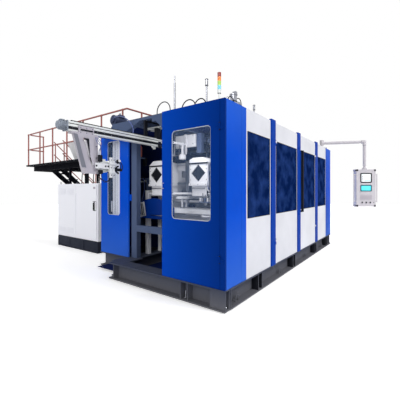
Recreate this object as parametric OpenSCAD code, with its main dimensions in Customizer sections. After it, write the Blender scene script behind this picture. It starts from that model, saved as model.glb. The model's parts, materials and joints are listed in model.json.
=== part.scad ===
// Double station extrusion blow moulding machine.
// Every module is laid out from the near front corner of the guard, with X along the operator
// side, Y to the rear and Z up. placed() then moves the origin under the die head.

/* [Machine frame] */
// Length of the guarding along the operator side
frame_l = 6000; // [5800:50:6400]
// Depth of the guarding
frame_w = 3400; // [3300:20:3700]
// Height of the guarding above the floor
guard_z = 2800; // [2760:10:2900]
// Height of the base beams
base_h = 300; // [280:5:320]
// Thickness of the levelling pads below the beams
pad_h = 15; // [10:1:25]
// Distance of the machine centre line from the front
head_y = 1600; // [1580:5:1620]
// How far the rear part of the near end is set back
step_l = 460; // [440:5:520]
// Depth of the front part of the near end
step_w = 2450; // [2420:5:2480]
// Width of a frame post or rail
post = 100; // [80:5:110]
// Flange width of the base beams
beam_b = 260; // [200:10:280]
// Flange thickness of the base beams
flange_t = 20; // [14:1:26]
// Web thickness of the base beams
web_t = 14; // [10:1:20]

/* [Guards and doors] */
// Depth of a folded panel
panel_t = 30; // [25:1:35]
// Sheet thickness of a folded panel
sheet_t = 3; // [2:0.5:4]
// Length of the plain blue box at each end of the front
corner_l = 590; // [570:5:610]
// Width of a blue strip between the bays
strip_w = 210; // [200:2:220]
// Width of the outer bays
outer_bay_w = 890; // [870:5:910]
// How far a strip's cap stands proud of the panels
cap_out = 15; // [10:1:20]
// How far a strip rises above the panels
cap_rise = 30; // [15:1:45]
// Lower edge of the tinted windows
window_z = 1190; // [1100:10:1260]
// Upper edge of the tinted windows
window_top = 2470; // [2400:10:2520]
// Width of the sheet beside a tinted window
window_rim = 36; // [30:1:50]
// Thickness of a pane
pane_t = 6; // [4:1:8]
// Depth of the near end's front box, which the end door covers
box_w = 1126; // [1100:2:1150]
// Distance of the end door's hinge from the front
end_hinge_y = 78; // [74:1:90]
// Width of the clear window in the end door
end_window_w = 703; // [640:5:740]
// Lower edge of the clear window in the end door
end_window_z = 1180; // [1100:10:1250]
// Height of the clear window in the end door
end_window_h = 1300; // [1200:10:1350]
// Corner radius of the clear windows
window_r = 60; // [40:5:80]
// Radius of a hinge knuckle
knuckle_r = 9; // [7:0.5:10]
// Radius of a hinge pin
pin_r = 4; // [3:0.25:5]
// Height of one hinge knuckle
knuckle_h = 40; // [30:1:50]
// Height of the lower hinges
hinge_low_z = 655; // [600:5:700]
// Height of the upper hinges
hinge_high_z = 2400; // [2300:10:2500]
// Radial clearance of pins and rods in their bores
run_gap = 0.06; // [0.03:0.01:0.1]
// Gap between a door and what is beside it
door_gap = 3; // [2:0.5:5]

/* [Mould stations] */
// Distance between the die head and each blow station
stroke = 1150; // [1130:10:1170]
// Height of the mould centre
mould_z = 1760; // [1740:5:1780]
// Width of a mould
mould_w = 520; // [480:10:540]
// Height of a mould
mould_h = 680; // [640:10:700]
// Depth of one mould half
mould_t = 200; // [180:5:220]
// Opening stroke of one mould half
mould_open = 230; // [200:5:240]
// Width of a platen
platen_w = 760; // [740:5:780]
// Height of a platen
platen_h = 920; // [900:10:940]
// Thickness of a platen
platen_t = 80; // [70:2:90]
// Diameter of a tie rod
tie_d = 60; // [50:2:66]
// Height above or below the mould centre of the tie rods
tie_z = 395; // [385:1:400]
// Distance of the tie rods from the station's centre
tie_x = 320; // [310:1:325]
// Width of the moulded container
cavity_w = 280; // [240:5:300]
// Height of the moulded container's body
cavity_h = 440; // [400:5:460]
// Depth of the container in one mould half
cavity_t = 115; // [90:5:125]
// Corner radius of the moulded container
cavity_r = 36; // [25:1:45]
// Diameter of the container's neck in the mould
neck_d = 60; // [52:1:70]
// Diameter of a blow pin
blow_pin_d = 40; // [32:1:46]
// Stroke of a blow pin
blow_stroke = 180; // [150:5:190]
// Diameter of a blow unit's guide column
column_d = 36; // [30:1:42]

/* [Take-out and trim station] */
// How far the take-out beam reaches out of the near end
beam_out = 1246; // [1240:2:1300]
// How far the take-out beam reaches into the machine
beam_in = 600; // [560:10:640]
// Height of the take-out beam's lower face
beam_z = 2360; // [2340:5:2380]
// Width of the take-out beam
beam_w = 80; // [70:2:90]
// Height of the take-out beam
beam_h = 120; // [110:2:130]
// Travel of the take-out carriage
take_out_stroke = 1150; // [1100:10:1170]
// Travel of one gripper finger
finger_stroke = 25; // [15:1:30]
// Distance between the trim station and the near blow station
trim_pitch = 750; // [740:5:770]
// Closing travel of one trim nest
nest_stroke = 200; // [150:5:220]
// Length of a trim nest
nest_l = 400; // [360:10:440]
// Depth of a trim nest
nest_w = 400; // [380:5:420]
// Height of a trim nest's block
nest_h = 400; // [380:5:420]
// Lower face of a trim nest
nest_z = 1690; // [1680:5:1700]
// Half diagonal of the square window through a trim nest
diamond_r = 140; // [120:2:160]
// Diameter of the trim station's table
table_d = 330; // [300:5:360]

/* [Extruder and platform] */
// Height of the extruder barrel's centre line
barrel_z = 2950; // [2930:5:2970]
// Outside diameter of the barrel
barrel_d = 200; // [180:5:220]
// Length of the barrel
barrel_l = 2700; // [2600:20:2800]
// Distance of the walkway from the near end
deck_x = 1190; // [1170:5:1210]
// Gap between the machine and the walkway
deck_gap = 50; // [30:5:100]
// Width of the walkway
deck_w = 900; // [860:10:940]
// Length of the walkway
deck_l = 5480; // [5400:20:5600]
// Height of the walkway
deck_z = 2475; // [2440:5:2500]
// Height of the handrail above the walkway
rail_h = 1100; // [1000:10:1150]
// Diameter of the handrail tube
rail_d = 42; // [34:1:48]
// Distance between handrail posts
rail_pitch = 868; // [860:2:874]
// Width of the cabinet
cabinet_w = 2000; // [1900:20:2060]
// Depth of the cabinet
cabinet_d = 600; // [560:10:640]
// Height of the cabinet's top above the floor
cabinet_z = 1780; // [1700:10:1820]
// Distance of the cabinet from the front of the machine
cabinet_y = 4400; // [4360:10:4440]

/* [Control panel] */
// Reach of the arm that carries the panel
arm_l = 1090; // [1050:5:1120]
// Width of the panel's housing
panel_w = 520; // [480:5:560]
// Height of the panel's housing
panel_h = 1010; // [980:5:1030]
// Depth of the panel's housing
panel_d = 150; // [130:5:180]
// Height of the panel's lower edge
panel_z = 1160; // [1120:10:1200]
// Direction that the panel faces, turned from the front
panel_turn = -53.3; // [-60:0.1:-40]

/* [Hidden] */
$fn = 48;

eps = 1;
head_x = frame_l / 2;
blue = [0.02, 0.22, 0.62];
white = [0.93, 0.92, 0.94];
tinted = [0.08, 0.1, 0.33];
steel = [0.6, 0.62, 0.65];
dark = [0.12, 0.13, 0.16];
grey = [0.42, 0.45, 0.5];
rail_red = [0.74, 0.24, 0.16];
beam_inset = 120;
top_z = guard_z - post;
strip1_x = corner_l + outer_bay_w + strip_w / 2;
front_strips_x = [strip1_x, head_x, 2 * head_x - strip1_x];
inner_bay_w = head_x - strip1_x - strip_w;
rear_y = frame_w - panel_t - post;
station_x = [head_x - stroke, head_x];
trim_x = head_x - stroke - trim_pitch;
blow_x = [head_x - stroke, head_x + stroke];
door_z = base_h + 2;
door_h = guard_z - door_z;
hinge_z = [hinge_low_z, hinge_high_z];
hinge_out = knuckle_r + door_gap;
cap_edge = strip_w / 2 - knuckle_r - door_gap;
opening_top = guard_z - post - 20;
grey_post_y = 2290;
column_y = 2480;
beam_top = beam_z + beam_h;
truss_in = 250;
track_t = 40;
carriage_top = 1060;
rail_z = 880;
bearing_h = 60;
end_plate_t = 90;
end_plate_y = 900;
carriage_z = rail_z + bearing_h + run_gap;
neck_top = mould_z + mould_h / 2;

module placed() translate([-head_x, -head_y, 0]) children();

// Block between two opposite corners
module block(x0, x1, y0, y1, z0, z1) translate([x0, y0, z0]) cube([x1 - x0, y1 - y0, z1 - z0]);

module rod_x(x0, x1, y, z, d) translate([x0, y, z]) rotate([0, 90, 0]) cylinder(h = x1 - x0, d = d);

module rod_y(x, y0, y1, z, d) translate([x, y0, z]) rotate([-90, 0, 0]) cylinder(h = y1 - y0, d = d);

module rod_z(x, y, z0, z1, d) translate([x, y, z0]) cylinder(h = z1 - z0, d = d);

// A flat outline stood up facing the front, the near end, the rear or the far end. Its
// thickness goes into the machine.
module on_front(x, y, z) translate([x, y, z]) rotate([90, 0, 0]) mirror([0, 0, 1]) children();

module on_end(x, y, z) translate([x, y, z]) rotate([90, 0, 90]) children();

module on_rear(x, y, z) translate([x, y, z]) rotate([90, 0, 0]) children();

module on_far_end(x, y, z) translate([x, y, z]) rotate([90, 0, 90]) mirror([0, 0, 1]) children();

// The other half of what is symmetric about the die head
module mirrored_x() translate([2 * head_x, 0, 0]) mirror([1, 0, 0]) children();

module mirrored_y() translate([0, 2 * head_y, 0]) mirror([0, 1, 0]) children();

// Part of a ring of round bar above the X axis: a quarter, or a half where left is its reach
module bend(r, d, left) {
    intersection() {
        rotate_extrude() translate([r, 0]) circle(d = d);
        translate([-left, 0, -d]) cube([2 * r + left, 2 * r, 2 * d]);
    }
}

module round_rect(w, h, r) {
    translate([r, 0]) square([w - 2 * r, h]);
    translate([0, r]) square([w, h - 2 * r]);
    for (x = [r, w - r], y = [r, h - r]) translate([x, y]) circle(r);
}

module window_outline(at, size, r) {
    if (r > 0) translate(at) round_rect(size[0], size[1], r);
    else translate(at) square(size);
}

// Folded sheet panel with returned edges and, where size is given, a framed window
module folded_panel(w, h, at = [0, 0], size = [0, 0], r = 0) {
    rim = 22;
    linear_extrude(sheet_t) difference() {
        square([w, h]);
        if (size[0] > 0) window_outline(at, size, r);
    }
    linear_extrude(panel_t) difference() {
        square([w, h]);
        translate([sheet_t, sheet_t]) square([w - 2 * sheet_t, h - 2 * sheet_t]);
    }
    if (size[0] > 0) linear_extrude(panel_t) difference() {
        window_outline(at - [rim, rim], size + [2 * rim, 2 * rim], r > 0 ? r + rim : 0);
        window_outline(at, size, r);
    }
}

// The pane that fills a panel's window from edge to edge
module pane(at, size, r) {
    translate([0, 0, sheet_t]) linear_extrude(pane_t) window_outline(at, size, r);
}

// Hinge along Z at the origin, with the tab to the left: the fixed knuckle with its pin
module fixed_knuckle(tab_y, tab_t) {
    cylinder(h = knuckle_h, r = knuckle_r);
    cylinder(h = 2 * knuckle_h, r = pin_r);
    translate([-60, tab_y, 0]) cube([60, tab_t, knuckle_h]);
}

// The moving knuckle above it, with the tab to the right
module moving_knuckle(tab_y, tab_t) {
    lift = 0.5;
    translate([0, 0, knuckle_h + lift]) difference() {
        union() {
            cylinder(h = knuckle_h - lift, r = knuckle_r);
            translate([0, tab_y, 0]) cube([60, tab_t, knuckle_h - lift]);
        }
        translate([0, 0, -eps]) cylinder(h = knuckle_h + 2 * eps, r = pin_r + run_gap);
    }
}

// H-beam lying along X, centred on Y
module h_beam(l) {
    for (z = [pad_h, base_h - flange_t]) translate([0, -beam_b / 2, z]) cube([l, beam_b, flange_t]);
    translate([0, -web_t / 2, pad_h]) cube([l, web_t, base_h - pad_h]);
}

module beam_x(x0, x1, y) translate([x0, y, 0]) h_beam(x1 - x0);

module beam_y(x, y0, y1) translate([x, y0, 0]) rotate([0, 0, 90]) h_beam(y1 - y0);

feet_x = [80, 1060, head_x - 300, head_x + 1350, frame_l - 470];
cross_x = [front_strips_x[0], head_x, front_strips_x[2]];
trim_leg_y = [760, 2420];
foot_gap = 60;
gusset_t = 12;
end_foot_y = 690;

// Two stiffeners across a beam's web, on both sides of a jacking bolt
module foot_gussets() {
    for (x = [-foot_gap - gusset_t, foot_gap])
        block(x, x + gusset_t, -beam_b / 2 + 4, beam_b / 2 - 4, pad_h, base_h - eps);
}

module base_frame() color(grey) placed() {
    inner_x = step_l + beam_inset;
    beam_x(beam_b / 2 - 10, frame_l - 10, beam_inset);
    beam_x(inner_x, frame_l - 10, frame_w - beam_inset);
    beam_y(beam_inset, 0, step_w);
    beam_x(0, inner_x, step_w - beam_inset);
    beam_y(inner_x, step_w - beam_inset, frame_w - 10);
    beam_y(frame_l - beam_inset, 0, frame_w);
    for (x = cross_x) beam_y(x, beam_inset, frame_w - beam_inset);
    for (y = trim_leg_y) beam_x(beam_inset, cross_x[0], y);
    for (x = feet_x, y = [beam_inset, frame_w - beam_inset])
        if (x > step_l || y == beam_inset) translate([max(x, inner_x * (y > head_y ? 1 : 0)), y, 0]) foot_gussets();
    translate([beam_inset, end_foot_y, 0]) rotate([0, 0, 90]) foot_gussets();
}

// Pad on the floor with jacking bolts on both sides of the beam's web
module foot(x, y, across = [0, 75]) {
    rod_z(x, y, 0, pad_h, 110);
    for (s = [-1, 1]) translate([s * across[0], s * across[1], 0]) {
        rod_z(x, y, pad_h + flange_t, pad_h + flange_t + 22, 44);
        rod_z(x, y, pad_h + flange_t, pad_h + flange_t + 120, 24);
    }
}

module levelling_feet() color(dark) placed() {
    for (x = feet_x) foot(x, beam_inset);
    for (x = [for (x = feet_x) if (x > step_l) x]) foot(x, frame_w - beam_inset);
    foot(step_l + beam_inset + foot_gap, frame_w - beam_inset);
    foot(beam_inset, end_foot_y, [75, 0]);
    for (x = cross_x) rod_z(x, head_y, 0, pad_h, 160);
}

frame_post_x = [40, front_strips_x[0] - post / 2, head_x - post / 2, front_strips_x[2] - post / 2,
    frame_l - panel_t - post];
grey_post_x = step_l + 40;
track_x = 50;
saddle_x = 240;
hold_x = trim_x - 280;
cover_t = 4;

module machine_frame() color(grey) placed() {
    far_x = frame_l - panel_t - post;
    for (x = frame_post_x) block(x, x + post, panel_t, panel_t + post, base_h, top_z);
    for (x = concat([grey_post_x], [for (x = frame_post_x) if (x > step_l) x]))
        block(x, x + post, rear_y, rear_y + post, base_h, top_z);
    block(panel_t, panel_t + post, box_w - post, box_w, base_h, top_z);
    block(grey_post_x, grey_post_x + post, grey_post_y, grey_post_y + 150, base_h, top_z);
    block(panel_t, far_x + post, panel_t, panel_t + post, top_z, guard_z);
    block(grey_post_x, far_x + post, rear_y, rear_y + post, top_z, guard_z);
    block(track_x, track_x + post, panel_t + post - eps, grey_post_y + 150, guard_z - track_t, guard_z);
    block(track_x, grey_post_x + post, grey_post_y, grey_post_y + 150, top_z, guard_z);
    block(grey_post_x, grey_post_x + post, grey_post_y, rear_y + eps, top_z, guard_z);
    block(far_x, far_x + post, panel_t + post - eps, rear_y + eps, top_z, guard_z);
    for (x = [frame_post_x[1], frame_post_x[3]]) block(x, x + post, panel_t, rear_y + eps, top_z, guard_z);
    for (s = [-1, 1]) block(track_x + eps, far_x + eps, head_y + s * truss_in - post / 2,
        head_y + s * truss_in + post / 2, top_z, guard_z);
    difference() {
        for (x = concat(blow_x, [head_x - saddle_x, head_x + saddle_x, hold_x]))
            block(x - 60, x + 60, head_y - truss_in, head_y + truss_in, top_z + 20, guard_z - 20);
        for (x = concat(blow_x, [hold_x])) rod_z(x, head_y, top_z, guard_z, column_d + 2 * run_gap);
    }
    // haunches under both ends of the track
    on_end(track_x, box_w - eps, guard_z) linear_extrude(post)
        polygon([[0, -272], [0, -eps], [270, -eps], [270, -track_t / 2]]);
    on_end(track_x, grey_post_y + eps, guard_z) linear_extrude(post)
        polygon([[0, -270], [0, -eps], [-660, -eps], [-660, -track_t / 2]]);
    // cross rail of the opening, and the posts' foot plates
    block(grey_post_x, grey_post_x + 80, box_w - 300, grey_post_y + eps, 810, 930);
    block(grey_post_x, grey_post_x + 80, box_w - 300, box_w - 220, base_h, 811);
    for (x = frame_post_x) block(x, x + post, panel_t, panel_t + post + 40, base_h, base_h + 14);
}

// Plain blue boxes at both ends of the front, with the narrow strip at the end door's hinge
module corner_guards() color(blue) placed() {
    seam = 138;
    on_front(0, 0, base_h) folded_panel(corner_l - seam - 4, guard_z - base_h);
    on_front(corner_l - seam, 0, base_h) folded_panel(seam, guard_z - base_h);
    block(0, panel_t, panel_t, end_hinge_y - door_gap, base_h, guard_z);
    for (z = hinge_z) translate([-hinge_out, end_hinge_y, z]) rotate([0, 0, 90]) fixed_knuckle(-hinge_out, 8);
    mirrored_x() on_front(0, 0, base_h) folded_panel(corner_l, guard_z - base_h);
}

// Strips between the bays, each a proud cap over the seam, with the fixed hinge knuckles
module front_strips() color(blue) placed() {
    for (x = front_strips_x) {
        block(x - strip_w / 2, x + strip_w / 2, 0, panel_t, base_h, guard_z);
        block(x - cap_edge, x + cap_edge, -cap_out, eps, base_h, guard_z + cap_rise);
        block(x - cap_edge, x + cap_edge, -cap_out, panel_t, guard_z - eps, guard_z + cap_rise);
    }
    for (z = hinge_z) {
        front_hinge(z);
        mirrored_x() front_hinge(z);
    }
    // keepers that the doors latch to
    for (z = [1085, 2480]) block(head_x - 40, head_x + 40, -cap_out - 12, -cap_out + eps, z, z + 34);
}

module front_hinge(z) {
    translate([front_strips_x[0] + strip_w / 2, -hinge_out, z])
        fixed_knuckle(hinge_out - cap_out - 6, 6);
}

window_h = window_top - window_z;

module fixed_panels() color(white) placed() {
    outer_panel();
    mirrored_x() outer_panel();
}

module outer_panel() on_front(corner_l, 0, base_h)
    folded_panel(outer_bay_w, guard_z - base_h, [window_rim, window_z - base_h],
        [outer_bay_w - 2 * window_rim, window_h]);

module fixed_panes() color(tinted) placed() {
    outer_pane();
    mirrored_x() outer_pane();
}

module outer_pane() on_front(corner_l, 0, base_h)
    pane([window_rim, window_z - base_h], [outer_bay_w - 2 * window_rim, window_h], 0);

// Swinging door of an inner bay, hinged on the outer strip
leaf_x = front_strips_x[0] + strip_w / 2;
leaf_w = inner_bay_w - 2 * door_gap;

module front_leaf() {
    on_front(leaf_x + door_gap, 0, door_z)
        folded_panel(leaf_w, door_h, [window_rim, window_z - door_z], [leaf_w - 2 * window_rim, window_h]);
    for (z = hinge_z) translate([leaf_x, -hinge_out, z]) moving_knuckle(hinge_out - 8, 8);
}

module front_glass() on_front(leaf_x + door_gap, 0, door_z)
    pane([window_rim, window_z - door_z], [leaf_w - 2 * window_rim, window_h], 0);

module front_door_left() color(white) placed() front_leaf();

module front_pane_left() color(tinted) placed() front_glass();

module front_door_right() color(white) placed() mirrored_x() front_leaf();

module front_pane_right() color(tinted) placed() mirrored_x() front_glass();

// Full height pull on the free edge of the right door
module door_pull() color(dark) placed() {
    x = head_x + strip_w / 2 + door_gap + 4;
    block(x, x + 26, -34, -22, window_z - 60, window_top);
    for (z = [window_z - 60, (window_z + window_top) / 2, window_top - 40]) block(x, x + 26, -23, 0, z, z + 40);
}

end_leaf_y = end_hinge_y + door_gap;
end_leaf_w = box_w - end_leaf_y;
end_window_y = 227;

module end_door() color(blue) placed() {
    on_end(0, end_leaf_y, door_z) folded_panel(end_leaf_w, door_h,
        [end_window_y - end_leaf_y, end_window_z - door_z], [end_window_w, end_window_h], window_r);
    for (z = hinge_z) translate([-hinge_out, end_hinge_y, z]) rotate([0, 0, 90]) moving_knuckle(-hinge_out, 8);
}

module end_pane() color([0.8, 0.85, 0.9]) placed()
    on_end(0, end_leaf_y, door_z) pane([end_window_y - end_leaf_y, end_window_z - door_z],
        [end_window_w, end_window_h], window_r);

// Bow handle near the free edge of the end door
module end_handle() color(white) placed() {
    y = box_w - 36;
    for (z = [1630, 1710]) rod_x(-40, 0, y, z, 10);
    rod_z(y = y, x = -40, z0 = 1620, z1 = 1720, d = 14);
}

column_w = frame_w - column_y - 20;
column_window_y = 2750;
column_window_w = 410;
column_window_z = 1100;
column_window_h = 1506;

// Blue guard left of the opening, with its rounded window
module guard_column() color(blue) placed() {
    on_end(step_l, column_y, base_h) folded_panel(column_w, guard_z - base_h,
        [column_window_y - column_y, column_window_z - base_h], [column_window_w, column_window_h], window_r);
    // bracket to the grey post
    block(grey_post_x - 12, grey_post_x, grey_post_y + 140, column_y + 60, 1400, 1520);
    block(step_l + sheet_t, grey_post_x, column_y, column_y + 12, 1400, 1520);
}

module column_pane() color([0.8, 0.85, 0.9]) placed() on_end(step_l, column_y, base_h)
    pane([column_window_y - column_y, column_window_z - base_h], [column_window_w, column_window_h], window_r);

// Bolted panels along the rear, below the barrel
module rear_panels() color(white) placed() {
    for (n = [0:3]) {
        x0 = n == 0 ? grey_post_x : frame_post_x[n] + post / 2;
        x1 = frame_post_x[n + 1] + post / 2 + (n == 3 ? post / 2 : 0);
        on_rear(x0 + 2, frame_w, base_h) folded_panel(x1 - x0 - 4, guard_z - base_h);
    }
}

// Closed far end with a clear window as on the end door
module far_end_panel() color(blue) placed() {
    on_far_end(frame_l, panel_t, base_h) folded_panel(head_y - panel_t - 2, guard_z - base_h);
    on_far_end(frame_l, head_y + 2, base_h) folded_panel(frame_w - head_y - 4, guard_z - base_h);
}

// Dark sheets that cover both ends of the roof
module roof_covers() color(dark) placed() {
    difference() {
        union() {
            block(track_x, strip1_x, panel_t, rear_y, guard_z, guard_z + cover_t);
            mirrored_x() block(panel_t, strip1_x, panel_t, rear_y, guard_z, guard_z + cover_t);
        }
        block(0, grey_post_x, grey_post_y + 150, frame_w, guard_z - eps, guard_z + cover_t + eps);
        rod_z(hold_x, head_y, guard_z - eps, guard_z + cover_t + eps, 160);
        for (x = blow_x) block(x - 150, x + 150, head_y - 150, head_y + 150, guard_z - eps, guard_z + 9);
    }
}

// Slotted aluminium profile with its hangers and a belt pulley below its inner end
module take_out_beam() color(steel) placed() {
    slot = 10;
    difference() {
        block(-beam_out, beam_in, head_y - beam_w / 2, head_y + beam_w / 2, beam_z, beam_top);
        for (s = [-1, 1]) translate([0, s * beam_w / 2, 0]) {
            block(-beam_out - eps, beam_in + eps, head_y - 8, head_y + 8, beam_z + 22, beam_z + 62);
            block(-beam_out - eps, beam_in + eps, head_y - 6, head_y + 6, beam_top - 28, beam_top - 18);
        }
        for (s = [-1, 1]) block(-beam_out - eps, beam_in + eps, head_y + s * 20 - slot / 2,
            head_y + s * 20 + slot / 2, beam_top - 6, beam_top + eps);
    }
    // strap from the track and hangers from the roof beams
    block(track_x + 20, track_x + post - 20, head_y - 12, head_y + 12, beam_top, guard_z - track_t);
    for (x = [330, 480]) {
        block(x, x + 80, head_y - truss_in - 40, head_y + truss_in + 40, top_z - 20, top_z);
        block(x, x + 80, head_y - 30, head_y + 30, beam_top, top_z - 19);
    }
    // pulley bracket
    block(360, 372, head_y + beam_w / 2, head_y + beam_w / 2 + 60, beam_z - 40, beam_z + 70);
    rod_x(320, 361, head_y + beam_w / 2 + 30, beam_z + 10, 56);
}

// Ribbed motor on the outer end of the beam, in line with it
module beam_drive() color(dark) placed() {
    x = -beam_out;
    z = beam_z + 62;
    block(x - 14, x, head_y - 58, head_y + 58, beam_z - 4, beam_top + 8);
    rod_x(x - 96, x - 13, head_y, z, 106);
    for (n = [0:4]) rod_x(x - 90 + n * 15, x - 84 + n * 15, head_y, z, 122);
    rod_x(x - 114, x - 95, head_y, z, 92);
}

// Sliding plate on the front face of the beam, with the hanging triangular bracket
carriage_x = -1107;
carriage_w = 216;
bracket_x = carriage_x + carriage_w + 61;

module take_out_carriage() color(white) placed() {
    gap = 0.3;
    arm_z = 1826;
    y = head_y - beam_w / 2 - gap;
    under = beam_z - 22 - arm_z;
    block(carriage_x, carriage_x + carriage_w, y - 24, y, beam_z - 20, beam_z + 88);
    block(bracket_x - 372, bracket_x, y - 24, head_y + 40, beam_z - 22, beam_z - gap);
    // triangular bracket: a plate with a window, and flanges on both its sides
    on_front(bracket_x, y - 24, arm_z) linear_extrude(14) difference() {
        polygon([[-178, 0], [0, 0], [0, under + eps], [-320, under + eps]]);
        polygon([[-92, 110], [-74, 110], [-74, under - 40], [-218, under - 40]]);
    }
    on_front(bracket_x, y - 24, arm_z) linear_extrude(104) {
        polygon([[-178, 0], [-166, 0], [-308, under + eps], [-320, under + eps]]);
        polygon([[-14, 0], [0, 0], [0, under + eps], [-14, under + eps]]);
    }
}

gripper_x = bracket_x;
gripper_z = 1900;

// Gripper body: mounting plate, two air cylinders and the slide of the fingers
module gripper() color(steel) placed() {
    block(gripper_x, gripper_x + 14, head_y - 90, head_y + 90, gripper_z - 60, gripper_z + 150);
    block(gripper_x + 14, gripper_x + 120, head_y - 60, head_y + 60, gripper_z + 55, gripper_z + 140);
    block(gripper_x + 14, gripper_x + 150, head_y - 50, head_y + 50, gripper_z - 45, gripper_z + 45);
    block(gripper_x + 150, gripper_x + 200, head_y - 110, head_y + 110, gripper_z - 30, gripper_z + 30);
    rod_x(gripper_x + 120, gripper_x + 190, head_y, gripper_z + 100, 50);
    translate([gripper_x + 205, head_y, gripper_z + 100]) sphere(d = 56);
}

finger_t = 14;
finger_out = 85;

module finger() {
    x = gripper_x + 200;
    y = head_y - finger_out;
    block(x + 0.3, x + 20, y - 14, y + 30, gripper_z - 28, gripper_z + 28);
    block(x + 0.3, x + 170, y - finger_t, y, gripper_z - 22, gripper_z + 22);
    on_front(x + 120, y - finger_t, gripper_z) linear_extrude(finger_t) difference() {
        circle(60);
        circle(38);
        translate([0, -70]) square([80, 140]);
    }
    for (n = [0:2]) block(x + 60 + n * 36, x + 78 + n * 36, y, y + 12, gripper_z - 18, gripper_z + 18);
}

module finger_front() color(dark) placed() finger();

module finger_rear() color(dark) placed() mirrored_y() finger();

// Hydraulic motor and valve on a plate above the guard column
motor_x = 620;
motor_y = 3000;

module roof_motor() color(grey) placed() {
    plate = 20 + cover_t;
    block(grey_post_x, motor_x + 240, motor_y - 170, rear_y + post, guard_z + cover_t, guard_z + plate);
    block(grey_post_x + 10, motor_x + 180, motor_y - 100, motor_y + 100, guard_z + plate, guard_z + 130);
    rod_x(motor_x - 110, motor_x + 150, motor_y, guard_z + 255, 200);
    for (n = [0:6]) rod_x(motor_x - 60 + n * 26, motor_x - 52 + n * 26, motor_y, guard_z + 255, 216);
    rod_x(motor_x - 140, motor_x - 109, motor_y, guard_z + 255, 120);
    block(motor_x - 70, motor_x + 110, motor_y - 70, motor_y + 70, guard_z + 120, guard_z + 180);
    block(motor_x - 60, motor_x + 60, motor_y - 150, motor_y - 90, guard_z + plate, guard_z + 110);
}

// Arc of hose standing on two fittings, in the plane that points along turn
module hose_arc(x, y, span, turn, d, riser) {
    rise = span / 2;
    translate([x, y, guard_z + 4]) rotate([0, 0, turn]) {
        for (s = [-1, 1]) translate([s * rise, 0, 0]) {
            cylinder(h = 40, d = d * 1.7);
            cylinder(h = riser, d = d);
        }
        translate([0, 0, riser]) rotate([90, 0, 0]) bend(rise, d, 2 * rise);
    }
}

// Hoses held from fitting to fitting on the roof
module roof_hoses() color(dark) placed() {
    hose_arc(300, 1385, 300, 90, 24, 120);
    hose_arc(280, 830, 270, 90, 26, 60);
    hose_arc(380, 690, 300, 78, 26, 60);
    hose_arc(560, 240, 180, 0, 22, 110);
    hose_arc(blow_x[1] + 410, 1080, 280, 15, 34, 120);
    hose_arc(blow_x[1] + 650, 2100, 300, 80, 34, 120);
}

tower_x = 330;
tower_y = 300;
tower_z = guard_z + 4;
lens_h = 62;
lens_z = tower_z + 250;

module tower_light() color(steel) placed() {
    rod_z(tower_x, tower_y, tower_z, tower_z + 12, 80);
    rod_z(tower_x, tower_y, tower_z, lens_z, 22);
    rod_z(tower_x, tower_y, lens_z - 50, lens_z, 54);
}

// One ribbed lens of the tower light
module tower_lens(n) {
    z = lens_z + n * lens_h;
    rod_z(tower_x, tower_y, z, z + lens_h - 6, 50);
    rod_z(tower_x, tower_y, z + lens_h - 6, z + lens_h, 54);
    for (k = [0:3]) rod_z(tower_x, tower_y, z + 7 + k * 12, z + 13 + k * 12, 53);
}

module tower_lens_blue() color([0.1, 0.5, 0.95]) placed() tower_lens(0);

module tower_lens_green() color([0.1, 0.7, 0.3]) placed() tower_lens(1);

module tower_lens_amber() color([0.95, 0.55, 0.1]) placed() tower_lens(2);

module tower_lens_red() color([0.85, 0.12, 0.1]) placed() tower_lens(3);

guide_z = nest_z - 150;
guide_dx = 176;
guide_d = 40;

// Bed of the trim station: beams, guide rods for the nests, table on its pillars
module trim_bed() color(steel) placed() {
    for (y = trim_leg_y) {
        block(trim_x - 220, trim_x + 220, y - 40, y + 40, guide_z - 60, guide_z + 60);
        for (s = [-1, 1]) block(trim_x + s * 180 - 40, trim_x + s * 180 + 40, y - 40, y + 40, base_h, guide_z - 59);
    }
    block(trim_x - 220, trim_x + 220, 800 - eps, 2380 + eps, 1180, 1260);
    for (s = [-1, 1]) rod_y(trim_x + s * guide_dx, trim_leg_y[0], trim_leg_y[1], guide_z, guide_d);
    for (s = [-1, 1]) rod_z(trim_x + s * 60, head_y, 1260, 1440, 36);
    rod_z(trim_x, head_y, 1440, 1470, table_d);
    rod_z(trim_x, head_y, 1470, 1482, table_d - 40);
}

// Domed blue cover over the belt drive, bolted to the legs of the bed below the rear nest
module drive_cover() color(blue) placed() {
    cover_w = 1000;
    depth = 80;
    low = 1040;
    side_top = 1240;
    dome_r = 800;
    on_end(trim_x - 220 - depth, trim_leg_y[1] - 760, 0) linear_extrude(depth) {
        translate([0, low]) square([cover_w, side_top - low]);
        intersection() {
            translate([cover_w / 2, 1440 - dome_r]) circle(r = dome_r);
            translate([0, side_top - eps]) square([cover_w, cover_w]);
        }
    }
}

// White trim nest with its square window, chamfered top and guide bushes
module nest() {
    y0 = 1280 - nest_w;
    x0 = trim_x - nest_l / 2 - 40;
    difference() {
        union() {
            on_end(x0, y0, nest_z) linear_extrude(nest_l) difference() {
                polygon([[0, 0], [nest_w, 0], [nest_w, nest_h + 60], [nest_w - 90, nest_h + 92],
                    [110, nest_h + 92], [0, nest_h + 10]]);
                translate([nest_w / 2, nest_h / 2 + 17]) rotate(45)
                    square(diamond_r * sqrt(2), center = true);
            }
            block(trim_x - 212, trim_x + 212, y0 + 40, y0 + nest_w - 40, guide_z - 40, nest_z + eps);
        }
        for (s = [-1, 1]) rod_y(trim_x + s * guide_dx, y0 - eps, y0 + nest_w + eps, guide_z, guide_d + 2 * run_gap);
    }
    // lower bars and the shelf line of the cap
    block(x0 - 14, x0 + eps, y0 - 10, y0 + nest_w + 10, nest_z - 6, nest_z + 34);
    block(x0 - 10, x0 + eps, y0, y0 + nest_w, nest_z + nest_h - 20, nest_z + nest_h);
}

module nest_front() color(white) placed() nest();

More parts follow.
